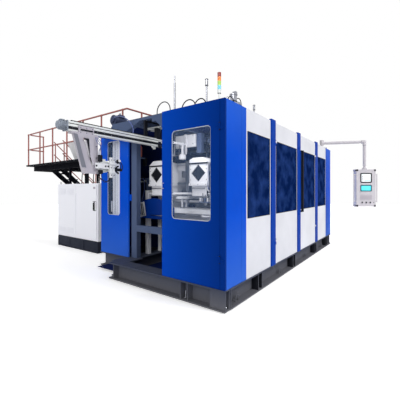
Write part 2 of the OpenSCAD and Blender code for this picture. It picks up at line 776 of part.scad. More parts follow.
module nest_rear() color(white) placed() mirrored_y() nest();

// Vertical cylinder that holds the container's neck on the trim table
module hold_down() color(steel) placed() {
    foot = 2240;
    rod_z(hold_x, head_y, foot, foot + 20, 110);
    rod_z(hold_x, head_y, foot, 3600, column_d);
    rod_z(hold_x, head_y, 3599, 3740, 20);
}

// Rails that both mould carriages shuttle along
module station_rails() color(grey) placed() {
    x0 = head_x - stroke - 420;
    x1 = head_x + stroke + 420;
    for (y = rail_y) {
        block(x0, x1, y - 70, y + 70, rail_z - 160, rail_z - 40);
        block(x0, x1, y - 30, y + 30, rail_z - 41, rail_z);
        for (x = concat([x0 + 60, x1 - 60], cross_x)) block(x - 60, x + 60, y - 70, y + 70, base_h, rail_z - 159);
    }
}

rail_y = [head_y - 700, head_y + 700];

// Carriage frame: bearing blocks, side beams, end plates, tie rods and closing cylinders
module carriage(x) {
    bore_d = 60 + 2 * run_gap;
    barrel_out = mould_open + 120;
    for (s = [-1, 1], y = rail_y) {
        block(x + s * 260 - 70, x + s * 260 + 70, y - 60, y + 60, rail_z + 0.3, carriage_z + eps);
        for (t = [-1, 1]) block(x + s * 260 - 70, x + s * 260 + 70, y + t * 45 - 14, y + t * 45 + 14,
            rail_z - 30, rail_z + 1);
    }
    for (s = [-1, 1]) block(x + s * 320 - 50, x + s * 320 + 50, head_y - end_plate_y, head_y + end_plate_y,
        carriage_z, carriage_top);
    for (t = [-1, 1]) {
        y = head_y + t * (end_plate_y - end_plate_t / 2);
        difference() {
            block(x - platen_w / 2, x + platen_w / 2, y - end_plate_t / 2, y + end_plate_t / 2,
                carriage_z, mould_z + platen_h / 2);
            rod_y(x, y - 100, y + 100, mould_z, bore_d);
            for (s = [-1, 1]) block(x + s * 190 - 60, x + s * 190 + 60, y - 60, y + 60, mould_z - 300, mould_z - 140);
            for (s = [-1, 1]) block(x + s * 190 - 60, x + s * 190 + 60, y - 60, y + 60, mould_z + 140, mould_z + 300);
        }
        difference() {
            union() {
                rod_y(x, min(y, y + t * barrel_out), max(y, y + t * barrel_out), mould_z, 150);
                rod_y(x, y + t * 210 - 20, y + t * 210 + 20, mould_z, 176);
            }
            rod_y(x, min(y - t * 60, y + t * (barrel_out - 20)), max(y - t * 60, y + t * (barrel_out - 20)),
                mould_z, bore_d);
        }
    }
    for (s = [-1, 1], t = [-1, 1]) rod_y(x + s * tie_x, head_y - end_plate_y + 20, head_y + end_plate_y - 20,
        mould_z + t * tie_z, tie_d);
}

// Half mould on its platen with the closing rod, opening towards the front
module mould_half(x) {
    y = head_y - mould_t;
    difference() {
        block(x - mould_w / 2, x + mould_w / 2, y, head_y, mould_z - mould_h / 2, neck_top);
        on_front(x - cavity_w / 2, head_y - cavity_t, mould_z - cavity_h / 2 - 40) linear_extrude(cavity_t + eps)
            round_rect(cavity_w, cavity_h, cavity_r);
        rod_z(x, head_y, mould_z, neck_top + eps, neck_d);
        // cooling bores in the outer side
        for (z = [-220, -110, 0, 110, 220]) rod_x(x - mould_w / 2 - eps, x - mould_w / 2 + 60, y + 60, mould_z + z, 16);
    }
    difference() {
        block(x - platen_w / 2, x + platen_w / 2, y - platen_t, y, mould_z - platen_h / 2, mould_z + platen_h / 2);
        for (s = [-1, 1], t = [-1, 1]) rod_y(x + s * tie_x, y - platen_t - eps, y + eps, mould_z + t * tie_z,
            tie_d + 2 * run_gap);
        for (s = [-1, 1]) block(x + s * 335 - 16, x + s * 335 + 60, y - platen_t - eps, y + eps,
            mould_z - 240, mould_z + 240);
    }
    rod_y(x, head_y - end_plate_y - 40, y - platen_t + eps, mould_z, 60);
}

module carriage_left() color(grey) placed() carriage(station_x[0]);

module carriage_right() color(grey) placed() carriage(station_x[1]);

module mould_left_front() color(steel) placed() mould_half(station_x[0]);

module mould_left_rear() color(steel) placed() mirrored_y() mould_half(station_x[0]);

module mould_right_front() color(steel) placed() mould_half(station_x[1]);

module mould_right_rear() color(steel) placed() mirrored_y() mould_half(station_x[1]);

// Blow pin on its crosshead, with the guide column that rises through the roof plate
module blow_unit(x) {
    tip = neck_top + 100;
    head = 2420;
    top = 4000;
    rod_z(x, head_y, tip, head + eps, blow_pin_d);
    rod_z(x, head_y, tip + 90, tip + 120, 70);
    block(x - 70, x + 70, head_y - 120, head_y + 120, head, head + 60);
    rod_z(x, head_y, head + 50, top, column_d);
    rod_z(x, head_y, top - 150, top, 62);
}

module blow_unit_left() color(steel) placed() blow_unit(blow_x[0]);

module blow_unit_right() color(steel) placed() blow_unit(blow_x[1]);

head_bottom = mould_z + mould_h / 2 + 170;

// Die head: nozzle, heated body, flange on the roof beams and the parison cylinder above it
module die_head() color(steel) placed() {
    rod_z(head_x, head_y, head_bottom, head_bottom + 90, 190);
    rod_z(head_x, head_y, head_bottom + 60, guard_z + 420, 330);
    for (n = [0:4]) rod_z(head_x, head_y, head_bottom + 110 + n * 76, head_bottom + 170 + n * 76, 360);
    rod_z(head_x, head_y, guard_z, guard_z + 50, 560);
    for (x = [-1, 1]) block(head_x + x * saddle_x - 60, head_x + x * saddle_x + 60, head_y - 190, head_y + 190,
        guard_z - 20, guard_z + eps);
    rod_z(head_x, head_y, guard_z + 400, guard_z + 460, 420);
    for (a = [45:90:315]) translate([head_x, head_y, 0]) rotate([0, 0, a]) rod_z(165, 0, guard_z + 450, 3700, 36);
    rod_z(head_x, head_y, 3690, 3740, 420);
    rod_z(head_x, head_y, guard_z + 450, 3700, 60);
    rod_z(head_x, head_y, 3730, 3960, 170);
    rod_z(head_x, head_y, 3955, 3985, 200);
    block(head_x + 30, head_x + 110, head_y - 45, head_y + 45, 3980, 4070);
    // neck that joins the barrel
    rod_y(head_x, head_y, head_y + 330, barrel_z, 150);
    rod_y(head_x, head_y + 290, head_y + 330, barrel_z, 300);
}

// Barrel with heater bands, feed section and hopper, gearbox and motor on a stand
module extruder() color(steel) placed() {
    y0 = head_y + 330;
    y1 = y0 + barrel_l;
    rod_y(head_x, y0, y0 + 50, barrel_z, 300);
    rod_y(head_x, y0 + 49, y1, barrel_z, barrel_d);
    for (n = [0:6]) rod_y(head_x, y0 + 120 + n * 300, y0 + 370 + n * 300, barrel_z, barrel_d + 50);
    block(head_x - 150, head_x + 150, y1 - 330, y1 + eps, barrel_z - 150, barrel_z + 150);
    block(head_x - 260, head_x + 260, y1, y1 + 620, 2600, 3320);
    for (x = [-1, 1]) block(head_x + x * 290 - 30, head_x + x * 290 + 30, y1 + 40, y1 + 580, 2600, 2680);
    rod_y(head_x, y1 + 619, y1 + 760, barrel_z + 60, 260);
    rod_y(head_x, y1 + 759, y1 + 1500, barrel_z + 60, 430);
    for (n = [0:7]) rod_y(head_x, y1 + 850 + n * 60, y1 + 862 + n * 60, barrel_z + 60, 460);
    block(head_x - 200, head_x + 200, y1 + 860, y1 + 1400, 2680, 2820);
    // feed hopper
    translate([head_x, y1 - 180, barrel_z + 149]) {
        cylinder(h = 90, d = 140);
        translate([0, 0, 89]) difference() {
            cylinder(h = 330, d1 = 140, d2 = 520);
            translate([0, 0, 4]) cylinder(h = 327, d1 = 132, d2 = 512);
        }
        translate([0, 0, 418]) cylinder(h = 14, d = 540);
    }
    // stand on the floor
    stand_y = [frame_w + 150, y1 - 200, y1 + 1300];
    for (x = [-stand_w / 2, stand_w / 2 - 100]) {
        for (y = stand_y) block(head_x + x, head_x + x + 100, y, y + 100, 0, 2501);
        block(head_x + x, head_x + x + 100, stand_y[0], stand_y[2] + 100, 2500, 2600);
        block(head_x + x, head_x + x + 100, stand_y[0], stand_y[2] + 100, 300, 400);
    }
    for (y = stand_y, z = [300, 2500]) block(head_x - stand_w / 2, head_x + stand_w / 2, y, y + 100, z, z + 100);
    block(head_x - 60, head_x + 60, stand_y[0], stand_y[0] + 100, 2599, barrel_z - barrel_d / 2 + 10);
    block(head_x - 220, head_x + 220, y1 + 900, y1 + 1360, 2599, 2681);
}

deck_t = 40;
deck_y = frame_w + deck_gap;
deck_frame_h = 150;
joist_n = 6;
joist_pitch = (deck_l - 76) / joist_n;
stand_w = 600;
spur_l = head_x - stand_w / 2 - deck_x - deck_w;
bin_x = 2450;
bin_y = 7500;

deck_under = deck_z - deck_t - deck_frame_h;
rim_in = 250;

module leg(x, y) {
    block(x, x + 60, y, y + 60, 0, deck_under + eps);
    block(x - 40, x + 100, y - 40, y + 100, 0, 12);
}

// Walkway behind the machine with its frame and legs
module platform() color(dark) placed() {
    x1 = deck_x + deck_w;
    y1 = deck_y + deck_l;
    under = deck_under;
    block(deck_x, x1, deck_y, y1, deck_z - deck_t, deck_z);
    block(x1 - eps, x1 + spur_l, deck_y, deck_y + deck_w, deck_z - deck_t, deck_z);
    block(x1 - eps, bin_x + 420, bin_y - 420, bin_y + 420, deck_z - deck_t, deck_z);
    for (x = [deck_x + rim_in, x1 - 68]) block(x, x + 60, deck_y + 8, y1 - 8, under, deck_z - deck_t + eps);
    for (n = [0:joist_n]) block(deck_x + rim_in, x1 - 9, deck_y + 8 + n * joist_pitch,
        deck_y + 68 + n * joist_pitch, under, deck_z - deck_t + eps);
    for (y = [deck_y + 8, deck_y + deck_w - 68]) block(x1 - 69, x1 + spur_l - 8, y, y + 60, under, deck_z - deck_t + eps);
    block(x1 + spur_l - 68, x1 + spur_l - 8, deck_y + 8, deck_y + deck_w - 8, under, deck_z - deck_t + eps);
    for (y = [bin_y - 412, bin_y + 352]) block(x1 - 69, bin_x + 412, y, y + 60, under, deck_z - deck_t + eps);
    block(bin_x + 352, bin_x + 412, bin_y - 412, bin_y + 412, under, deck_z - deck_t + eps);
    leg(deck_x + rim_in, deck_y + 10);
    leg(x1 - 70, deck_y + 10);
    leg(x1 + spur_l - 70, deck_y + deck_w - 70);
    leg(deck_x + rim_in, cabinet_y + cabinet_w + 60);
    leg(x1 - 70, cabinet_y + cabinet_w + 60);
    leg(bin_x + 350, bin_y + 350);
    leg(bin_x + 350, bin_y - 410);
}

rail_z0 = deck_z;

module rail_post(x, y) {
    rod_z(x, y, rail_z0, rail_z0 + rail_h - rail_d / 2, rail_d);
    rod_z(x, y, rail_z0, rail_z0 + 10, 90);
}

// Tubular handrail round the outer edge of the walkway
module handrails() color(rail_red) placed() {
    x = deck_x + 50;
    y0 = deck_y + 50;
    y1 = deck_y + deck_l - 60;
    end_r = 160;
    mid_z = rail_z0 + 550;
    top = rail_z0 + rail_h - rail_d / 2;
    for (n = [0:6]) rail_post(x, deck_y + 210 + n * rail_pitch);
    for (z = [mid_z, top]) {
        rod_y(x, y0, y1 - end_r, z, rail_d);
        rod_x(x, deck_x + deck_w + spur_l - 60, y0, z, rail_d);
        translate([x, y0, z]) sphere(d = rail_d);
        translate([x + end_r, y1 - end_r, z]) mirror([1, 0, 0]) bend(end_r, rail_d, 0);
        rod_x(x + end_r, x + 520, y1, z, rail_d);
    }
    rail_post(x + 460, y0);
    rail_post(deck_x + deck_w + spur_l - 70, y0);
    rail_post(x + 500, y1);
}

stair_w = 660;
stair_run = 2700;
tread_n = 10;
stair_rail_h = 960;

// Stair at the end of the walkway, going down along X, with its own handrail
module stairs() color(dark) placed() {
    x0 = deck_x + deck_w;
    y1 = deck_y + deck_l;
    y0 = y1 - stair_w;
    for (y = [y0, y1 - 10]) on_front(x0, y, 0) linear_extrude(10)
        polygon([[0, deck_z - 190], [0, deck_z], [60, deck_z], [stair_run + 60, 120], [stair_run + 60, 0],
            [stair_run - 60, 0]]);
    for (n = [1:tread_n]) {
        t = n / (tread_n + 1);
        block(x0 + stair_run * t - 60, x0 + stair_run * t + 160, y0 + 9, y1 - 9, deck_z * (1 - t) - 30,
            deck_z * (1 - t));
    }
    // handrail over each stringer
    drop = deck_z - 120;
    slope = atan(drop / stair_run);
    for (y = [y0 + 5, y1 - 5]) {
        for (t = [0.02, 0.5, 0.96]) rod_z(x0 + 60 + stair_run * t, y, deck_z - drop * t - 60,
            deck_z - drop * t + stair_rail_h, 34);
        for (h = [stair_rail_h / 2, stair_rail_h]) translate([x0 + 60, y, deck_z + h])
            rotate([0, 90 + slope, 0]) cylinder(h = stair_run / cos(slope), d = 34);
    }
}

// Charcoal base, white body open at the front behind its door
module cabinet() color(white) placed() {
    wall = 20;
    x0 = face_x;
    x1 = face_x + cabinet_d;
    y1 = cabinet_y + cabinet_w;
    door_y1 = cabinet_y + 1000;
    difference() {
        block(x0, x1, cabinet_y, y1, base_h, cabinet_z);
        block(x0 - eps, x1 - wall, cabinet_y + wall + 30, door_y1, base_h + wall + 30, cabinet_z - wall - 30);
        block(x0 + wall, x1 - wall, door_y1 + wall, y1 - wall, base_h + wall, cabinet_z - wall);
    }
    block(x0 - 16, x0 + eps, door_y1 + 30, y1 - 10, base_h + 30, cabinet_z - 30);
    for (z = [base_h + 180, cabinet_z - 260]) translate([x0 - hinge_out, door_y1 + 12, z])
        mirror([0, 1, 0]) rotate([0, 0, 90]) fixed_knuckle(-hinge_out + 3, 9);
    // base on the floor
    block(x0 + 10, x1 - 10, cabinet_y + 10, y1 - 10, 0, base_h + eps);
    for (y = [cabinet_y + 180, y1 - 320]) block(x0, x0 + 11, y, y + 140, 60, base_h - 40);
}

face_x = 1060;
cab_leaf_w = 955;

module cabinet_door() color(white) placed() {
    x = face_x - 3;
    hinge_y = cabinet_y + 1012;
    block(x - 18, x - 0.3, hinge_y - 12 - cab_leaf_w, hinge_y - 12, base_h + 32, cabinet_z - 32);
    for (z = [base_h + 180, cabinet_z - 260]) translate([face_x - hinge_out, hinge_y, z])
        mirror([0, 1, 0]) rotate([0, 0, 90]) moving_knuckle(-hinge_out + 3, 9);
}

handle_y = 4540;
handle_z = 1200;

// Swing handle of the cabinet door: a spindle and a long grip
module cabinet_handle() color(dark) placed() {
    x = face_x - 21;
    block(x - 6, x - 0.3, handle_y - 20, handle_y + 20, handle_z - 110, handle_z + 110);
    rod_x(x - 20, x - 5, handle_y, handle_z + 70, 30);
    block(x - 34, x - 19, handle_y - 13, handle_y + 13, handle_z - 100, handle_z + 86);
}

// Open hopper in the form of an upturned pyramid, on a foot plate
module material_bin() color(white) placed() translate([bin_x, bin_y, deck_z]) {
    top = 825;
    half = 340;
    throat = 124;
    neck = 40;
    wall = 8;
    rim = 40;
    difference() {
        union() {
            hull() {
                translate([-throat, -throat, neck - eps]) cube([2 * throat, 2 * throat, eps]);
                translate([-half, -half, top - rim]) cube([2 * half, 2 * half, rim]);
            }
            translate([-half - 14, -half - 14, top - 30]) cube([2 * half + 28, 2 * half + 28, 30]);
        }
        hull() {
            translate([-throat + wall, -throat + wall, neck + 4]) cube([2 * throat - 2 * wall, 2 * throat - 2 * wall, eps]);
            translate([-half + wall, -half + wall, top - rim + 2]) cube([2 * half - 2 * wall, 2 * half - 2 * wall, rim]);
        }
    }
    translate([-throat - 26, -throat - 26, 0]) cube([2 * throat + 52, 2 * throat + 52, neck]);
}

arm_x = 5330;
arm_y = 130;
arm_z = 2930;
arm_d = 60;
// The arm points down the side of the panel's own turn
arm_turn = -66;
arm_end = [arm_x + arm_l * cos(arm_turn), arm_y + arm_l * sin(arm_turn)];

module arm() color(white) placed() {
    rod_z(arm_x, arm_y - 50, guard_z + cover_t + 0.3, arm_z + 60, 90);
    rod_z(arm_x, arm_y - 50, arm_z - 20, arm_z + 70, 110);
    translate([arm_x, arm_y - 50, arm_z]) rotate([0, 0, arm_turn]) {
        rod_x(0, arm_l, 0, 0, arm_d);
        translate([arm_l, 0, 0]) sphere(d = 96);
        rod_z(arm_l, 0, -100, 0, 70);
    }
}

button_x = [-110, 0, 110];
button_z = panel_z + 115;
button_d = 34;

// Housing of the control panel, hung from its drop tube
module at_panel() placed() translate([arm_end[0], arm_end[1] - 50, 0]) rotate([0, 0, panel_turn]) children();

module control_panel() color(white) at_panel() {
    front = -panel_d / 2;
    rod_z(0, 0, panel_z + panel_h - eps, arm_z - 100.3, 50);
    rod_z(0, 0, panel_z + panel_h - eps, panel_z + panel_h + 40, 110);
    difference() {
        block(-panel_w / 2, panel_w / 2, front, -front, panel_z, panel_z + panel_h);
        block(-150, 150, front - eps, front + 12, panel_z + 620, panel_z + 895);
        block(-150, 150, front - eps, front + 12, panel_z + 340, panel_z + 530);
        for (x = button_x) rod_y(x, front - eps, front + 20, button_z, button_d + 2 * run_gap);
    }
    for (x = button_x) difference() {
        rod_y(x, front - 8, front + eps, button_z, button_d + 10);
        rod_y(x, front - 9, front + 2 * eps, button_z, button_d + 2 * run_gap);
    }
    // side handles
    for (s = [-1, 1]) {
        rod_z(s * (panel_w / 2 + 52), front + 30, panel_z + 120, panel_z + panel_h - 120, 26);
        for (z = [panel_z + 140, panel_z + panel_h - 140])
            rod_x(min(s * (panel_w / 2 - 5), s * (panel_w / 2 + 52)), max(s * (panel_w / 2 - 5), s * (panel_w / 2 + 52)),
                front + 30, z, 20);
    }
    // corner bumpers
    for (s = [-1, 1], z = [panel_z - 4, panel_z + panel_h - 50])
        block(s * (panel_w / 2 - 20) - 26, s * (panel_w / 2 - 20) + 26, front - 6, -front + 6, z, z + 54);
}

module panel_screens() color([0.75, 0.9, 0.95]) at_panel() {
    front = -panel_d / 2;
    block(-150, 150, front + 2, front + 12, panel_z + 620, panel_z + 895);
    block(-150, 150, front + 2, front + 12, panel_z + 340, panel_z + 530);
}

// Push buttons below the screens
module panel_buttons() color(dark) at_panel() {
    front = -panel_d / 2;
    for (x = button_x) rod_y(x, front - 18, front + 10, button_z, button_d);
}

base_frame();
levelling_feet();
machine_frame();
corner_guards();
front_strips();
fixed_panels();
fixed_panes();
front_door_left();
front_pane_left();
front_door_right();
front_pane_right();
door_pull();
end_door();
end_pane();
end_handle();
guard_column();
column_pane();
rear_panels();
far_end_panel();
roof_covers();
take_out_beam();
beam_drive();
take_out_carriage();
gripper();
finger_front();
finger_rear();
roof_motor();
roof_hoses();
tower_light();
tower_lens_red();
tower_lens_amber();
tower_lens_green();
tower_lens_blue();
trim_bed();
drive_cover();
nest_front();
nest_rear();
hold_down();
station_rails();
carriage_left();
mould_left_front();
mould_left_rear();
carriage_right();
mould_right_front();
mould_right_rear();
blow_unit_left();
blow_unit_right();
die_head();
extruder();
material_bin();
platform();
handrails();
stairs();
cabinet();
cabinet_door();
cabinet_handle();
arm();
control_panel();
panel_screens();
panel_buttons();
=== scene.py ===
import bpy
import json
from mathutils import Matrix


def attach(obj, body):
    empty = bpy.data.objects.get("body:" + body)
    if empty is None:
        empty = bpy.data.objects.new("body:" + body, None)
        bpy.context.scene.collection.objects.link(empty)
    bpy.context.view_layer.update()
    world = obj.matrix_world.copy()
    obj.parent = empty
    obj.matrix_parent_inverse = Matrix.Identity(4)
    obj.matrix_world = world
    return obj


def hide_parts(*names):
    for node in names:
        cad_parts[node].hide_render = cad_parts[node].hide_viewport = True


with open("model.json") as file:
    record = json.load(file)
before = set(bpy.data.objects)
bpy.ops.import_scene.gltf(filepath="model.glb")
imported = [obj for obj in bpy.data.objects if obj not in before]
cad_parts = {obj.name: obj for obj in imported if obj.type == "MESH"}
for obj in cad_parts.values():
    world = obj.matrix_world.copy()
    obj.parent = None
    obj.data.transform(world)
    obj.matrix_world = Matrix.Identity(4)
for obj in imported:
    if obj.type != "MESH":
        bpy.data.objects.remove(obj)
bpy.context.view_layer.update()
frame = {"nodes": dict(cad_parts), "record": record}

import json
import math

import bpy
import numpy as np
from bpy.props import FloatProperty, FloatVectorProperty, PointerProperty

bl_info = {
    "name": "Blow moulding machine",
    "version": (1, 0, 0),
    "blender": (4, 5, 0),
    "location": "View3D > Sidebar > Blow Moulding",
    "description": "Dresses the packed frame of a double station extrusion blow moulding machine",
    "category": "Object",
}

# Pieces are laid out in millimetres from the near front corner of the guard, as the CAD is
HEAD_X, HEAD_Y = 3000.0, 1600.0
HEAD = np.array([HEAD_X, HEAD_Y, 0.0])
REAR_Y = 3400.0
ROOF_Z = 2804.0
PANE_Z, PANE_H = 1830.0, 1280.0
STRIPS = np.array([1585.0, HEAD_X, 4415.0])
STATIONS = (1850.0, HEAD_X)
BLOW_X = (1850.0, 4150.0)
TRIM_X = 1100.0
MOULD_Z = 1760.0
BARREL_Z = 2950.0
CABINET_TOP = 1780.0
DECK_Z = 2475.0
# Roof hoses are drawn at this share of their thickness in the CAD, as the photo has them
HOSE_SHARE = 0.66
FEET_X = np.array([80.0, 1060.0, 2700.0, 4350.0, 5530.0])
ARM_FOOT = np.array([5330.0, 80.0, 0.0])
ARM_REACH = 1090.0
ARM_Z = 2930.0
ARM_TURN = math.radians(-66)
PANEL_TURN = math.radians(-53.3)
# Where paints take the colour of the near end, in metres from the die head; on guard blue and
# machine white it is painted shade
NEAR_END = -2.965
# Faces that meet at less than this are shaded smooth
SHARP = math.radians(38)
# The stage: half the floor in metres, and how much it glows to the camera
FLOOR_REACH = 30.0
FLOOR_GLOW = 0.42
# The camera: metres above the floor, and its turn from looking along +Y
EYE_LEVEL = 1.6
CAMERA_TURN = math.radians(-53.3)
# Directions: the operator side, its opposite, the take-out end, its opposite, and up
FRONT, REAR, NEAR, FAR, UP = (0, -1, 0), (0, 1, 0), (-1, 0, 0), (1, 0, 0), (0, 0, 1)


class Shell:
    """Points, faces as runs of point numbers, and one paint number for each face."""

    def __init__(self, points, loops, sizes, paint=0):
        self.points = np.asarray(points, float).reshape(-1, 3)
        self.loops = np.asarray(loops, int).ravel()
        self.sizes = np.asarray(sizes, int).ravel()
        self.paint = np.full(len(self.sizes), paint) if np.isscalar(paint) else paint

    def painted(self, paint):
        return Shell(self.points, self.loops, self.sizes, paint)

    def moved(self, by):
        return Shell(self.points + np.asarray(by, float), self.loops, self.sizes, self.paint)

    def outward(self):
        """The same shell with its faces turned out: the sum of the volumes between the origin
        and each face's triangles is positive."""
        ends = np.cumsum(self.sizes)
        starts = np.repeat(ends - self.sizes, self.sizes)
        after = np.arange(len(self.loops)) + 1
        after[ends - 1] = ends - self.sizes
        a, b, c = (self.points[self.loops[k]] for k in (starts, np.arange(len(after)), after))
        if np.einsum("ij,ij->i", a, np.cross(b, c)).sum() >= 0:
            return self
        back = 2 * starts + np.repeat(self.sizes, self.sizes) - 1 - np.arange(len(self.loops))
        return Shell(self.points, self.loops[back], self.sizes, self.paint)


def joined(shells):
    """Several shells as one."""
    firsts = np.cumsum([0] + [len(s.points) for s in shells])
    return Shell(
        np.concatenate([s.points for s in shells]),
        np.concatenate([s.loops + n for s, n in zip(shells, firsts)]),
        np.concatenate([s.sizes for s in shells]),
        np.concatenate([s.paint for s in shells]),
    )


def net(points, round_u=False, round_v=True):
    """Faces between neighbours of a net of points: (i, j), (i, j+1), (i+1, j+1), (i+1, j)."""
    nu, nv = points.shape[:2]
    i, j = np.meshgrid(np.arange(nu - (not round_u)), np.arange(nv - (not round_v)), indexing="ij")
    a, b = (i + 1) % nu, (j + 1) % nv
    quads = np.stack([i * nv + j, i * nv + b, a * nv + b, a * nv + j], -1).reshape(-1, 4)
    return Shell(points, quads, np.full(len(quads), 4))


def capped(points):
    """A tube of rings with a flat face over its first and its last ring."""
    nu, nv = points.shape[:2]
    body = net(points)
    ring = np.arange(nv)
    loops = np.concatenate([body.loops, ring[::-1], ring + (nu - 1) * nv])
    return Shell(points, loops, np.append(body.sizes, [nv, nv]))


def unit(v):
    return v / np.linalg.norm(v, axis=-1, keepdims=True)


def across(axis):
    """Two unit vectors square to an axis and to each other."""
    axis = unit(np.asarray(axis, float))
    side = unit(np.cross([0, 1, 0] if abs(axis[1]) < 0.9 else [0, 0, 1], axis))
    return side, np.cross(axis, side)


def circle(d, n):
    turn = np.arange(n) * 2 * np.pi / n
    return np.stack([np.cos(turn), np.sin(turn)], -1) * d / 2


def rounded(w, h, r, n=5):
    """Outline of a rectangle about its centre whose corners are quarter circles of radius r."""
    turn = np.linspace(0, np.pi / 2, n) + np.arange(4)[:, None] * np.pi / 2
    sx = np.array([1, -1, -1, 1])[:, None]
    sy = np.array([1, 1, -1, -1])[:, None]
    x = sx * (w / 2 - r) + r * np.cos(turn)
    y = sy * (h / 2 - r) + r * np.sin(turn)
    return np.stack([x, y], -1).reshape(-1, 2)


def carried(profile, path, up=UP, closed=False):
    """An outline carried along a path: P(i, j) = path(i) + a(j) side(i) + b(j) lift(i), where
    side is square to the path and to up, and lift is square to both."""
    path = np.asarray(path, float)
    if closed:
        run = unit(np.roll(path, -1, 0) - np.roll(path, 1, 0))
    else:
        run = unit(np.gradient(path, axis=0))
    side = unit(np.cross(np.broadcast_to(np.asarray(up, float), path.shape), run))
    lift = np.cross(run, side)
    points = path[:, None] + profile[:, :1] * side[:, None] + profile[:, 1:] * lift[:, None]
    return (net(points, round_u=True) if closed else capped(points)).outward()


def smooth_path(points, n):
    """A curve through points: each stretch is the cubic whose ends take the direction from the
    point before to the point after."""
    p = np.asarray(points, float)
    ends = np.concatenate([2 * p[:1] - p[1:2], p, 2 * p[-1:] - p[-2:-1]])
    t = np.linspace(0, len(p) - 1, n)
    k = np.minimum(t.astype(int), len(p) - 2)
    f = (t - k)[:, None]
    a, b, c, d = (ends[k + m] for m in range(4))
    return b + 0.5 * f * (c - a + f * (2 * a - 5 * b + 4 * c - d + f * (3 * (b - c) + d - a)))


def turned(profile, centre=(0, 0, 0), axis=UP, n=28):
    """A lathe shape: P(i, j) = centre + h(i) axis + r(i) (cos j, sin j) across the axis, for a
    profile of radius and height, with a flat face over both ends."""
    profile = np.asarray(profile, float)
    axis = unit(np.asarray(axis, float))
    e1, e2 = across(axis)
    turn = (np.arange(n) + 0.5) * 2 * np.pi / n
    ring = np.cos(turn)[:, None] * e1 + np.sin(turn)[:, None] * e2
    points = np.asarray(centre, float) + profile[:, None, 1:] * axis + profile[:, None, :1] * ring
    return capped(points).outward()


def bar(start, end, d):
    """A round bar between two points with a chamfer at both ends."""
    start, end = np.asarray(start, float), np.asarray(end, float)
    l, r, edge = np.linalg.norm(end - start), d / 2, 1.5
    return turned([(r - edge, 0), (r, edge), (r, l - edge), (r - edge, l)], start, end - start, 20)


def plate(outline, depth, at, right, up, edge=1.5):
    """A flat outline given depth along right x up, chamfered: four copies of the outline, the
    outer two drawn in towards the middle by the chamfer."""
    outline = np.asarray(outline, float)
    right, up = unit(np.asarray(right, float)), unit(np.asarray(up, float))
    out = np.cross(right, up)
    middle = outline.mean(0)
    reach = np.abs(outline - middle).max(0)
    drawn = middle + (outline - middle) * (1 - edge / np.maximum(reach, 2 * edge))
    rings = np.stack([drawn, outline, outline, drawn])
    level = np.array([0, edge, depth - edge, depth])[:, None, None]
    points = np.asarray(at, float) + rings[..., :1] * right + rings[..., 1:] * up + level * out
    return capped(points).outward()


def block(x0, x1, y0, y1, z0, z1, r):
    """A block with rounded upright edges and chamfered ends."""
    w, h = x1 - x0, y1 - y0
    r = min(r, w / 3, h / 3, (z1 - z0) / 3)
    outer, inner = rounded(w, h, r, 3), rounded(w - 2 * r, h - 2 * r, r / 3, 3)
    rings = np.stack([inner, outer, outer, inner])
    level = np.broadcast_to(np.array([z0, z0 + r, z1 - r, z1])[:, None, None], (4, len(outer), 1))
    points = np.concatenate([rings + [(x0 + x1) / 2, (y0 + y1) / 2], level], -1)
    return capped(points).outward()


def copies(shell, places):
    """The same shell at each place."""
    places = np.asarray(places, float).reshape(-1, 3)
    k, n = len(places), len(shell.points)
    loops = shell.loops[None] + np.arange(k)[:, None] * n
    points = shell.points[None] + places[:, None]
    return Shell(points, loops, np.tile(shell.sizes, k), np.tile(shell.paint, k))


def spread(x, y, z):
    """Every combination of the given coordinates."""
    return np.stack(np.meshgrid(x, y, z, indexing="ij"), -1).reshape(-1, 3)


def ring_at(centre, r, angles):
    """Places on a level circle about a centre, one for each angle."""
    angles = np.asarray(angles)
    return np.stack([np.cos(angles), np.sin(angles), 0 * angles], -1) * r + centre


def add(parts, paint, *shells):
    """Puts shells, all in one paint, at the end of a list."""
    parts.extend(s.painted(paint) for s in shells)


def hose(points, d, up, n=40, sides=8):
    """A round hose or bar along a curve through points."""
    return carried(circle(d, sides), smooth_path(points, n), up)


def lifting_eye(r, d, lift, foot, n=18, sides=28):
    """An upright ring of bar d and radius r, its centre lifted above a turned foot."""
    t = np.linspace(0, 2 * np.pi, n, endpoint=False)
    ring = np.stack([r * np.cos(t), 0 * t, lift + r * np.sin(t)], -1)
    return joined([carried(circle(d, 8), ring, REAR, True), turned(foot, n=sides)])


def louvre(half, taper, height, depth, right):
    """A slat standing out of a sheet, narrower by the taper at both ends of its upper edge."""
    outline = [(-half, 0), (half, 0), (half - taper, height), (taper - half, height)]
    return plate(outline, depth, (0, 0, 0), right, UP, 2)


def hex_bolts(places, axis, size, paint=0):
    """Hexagon heads on washers at each place, pointing along the axis."""
    washer = turned([(size * 0.95, 0), (size * 0.95, size * 0.16)], (0, 0, 0), axis, 14)
    r = size * 0.8
    head = turned([(r, 0.1), (r, size * 0.6), (r * 0.86, size * 0.72)], (0, 0, 0), axis, 6)
    return copies(joined([washer, head]), places).painted(paint)


def screws(places, axis, size, paint=0):
    """Button heads with a dished top at each place."""
    r = size / 2
    head = [(r, 0), (r * 0.92, size * 0.2), (r * 0.6, size * 0.34), (r * 0.3, size * 0.34),
            (r * 0.28, size * 0.2)]
    return copies(turned(head, (0, 0, 0), axis, 12), places).painted(paint)


def mirror_x(shell):
    """The shell's mirror image about the die head."""
    points = shell.points * [-1, 1, 1] + [2 * HEAD_X, 0, 0]
    return Shell(points, shell.loops, shell.sizes, shell.paint).outward()


def mirror_y(shell):
    """The same from front to rear."""
    points = shell.points * [1, -1, 1] + [0, 2 * HEAD_Y, 0]
    return Shell(points, shell.loops, shell.sizes, shell.paint).outward()


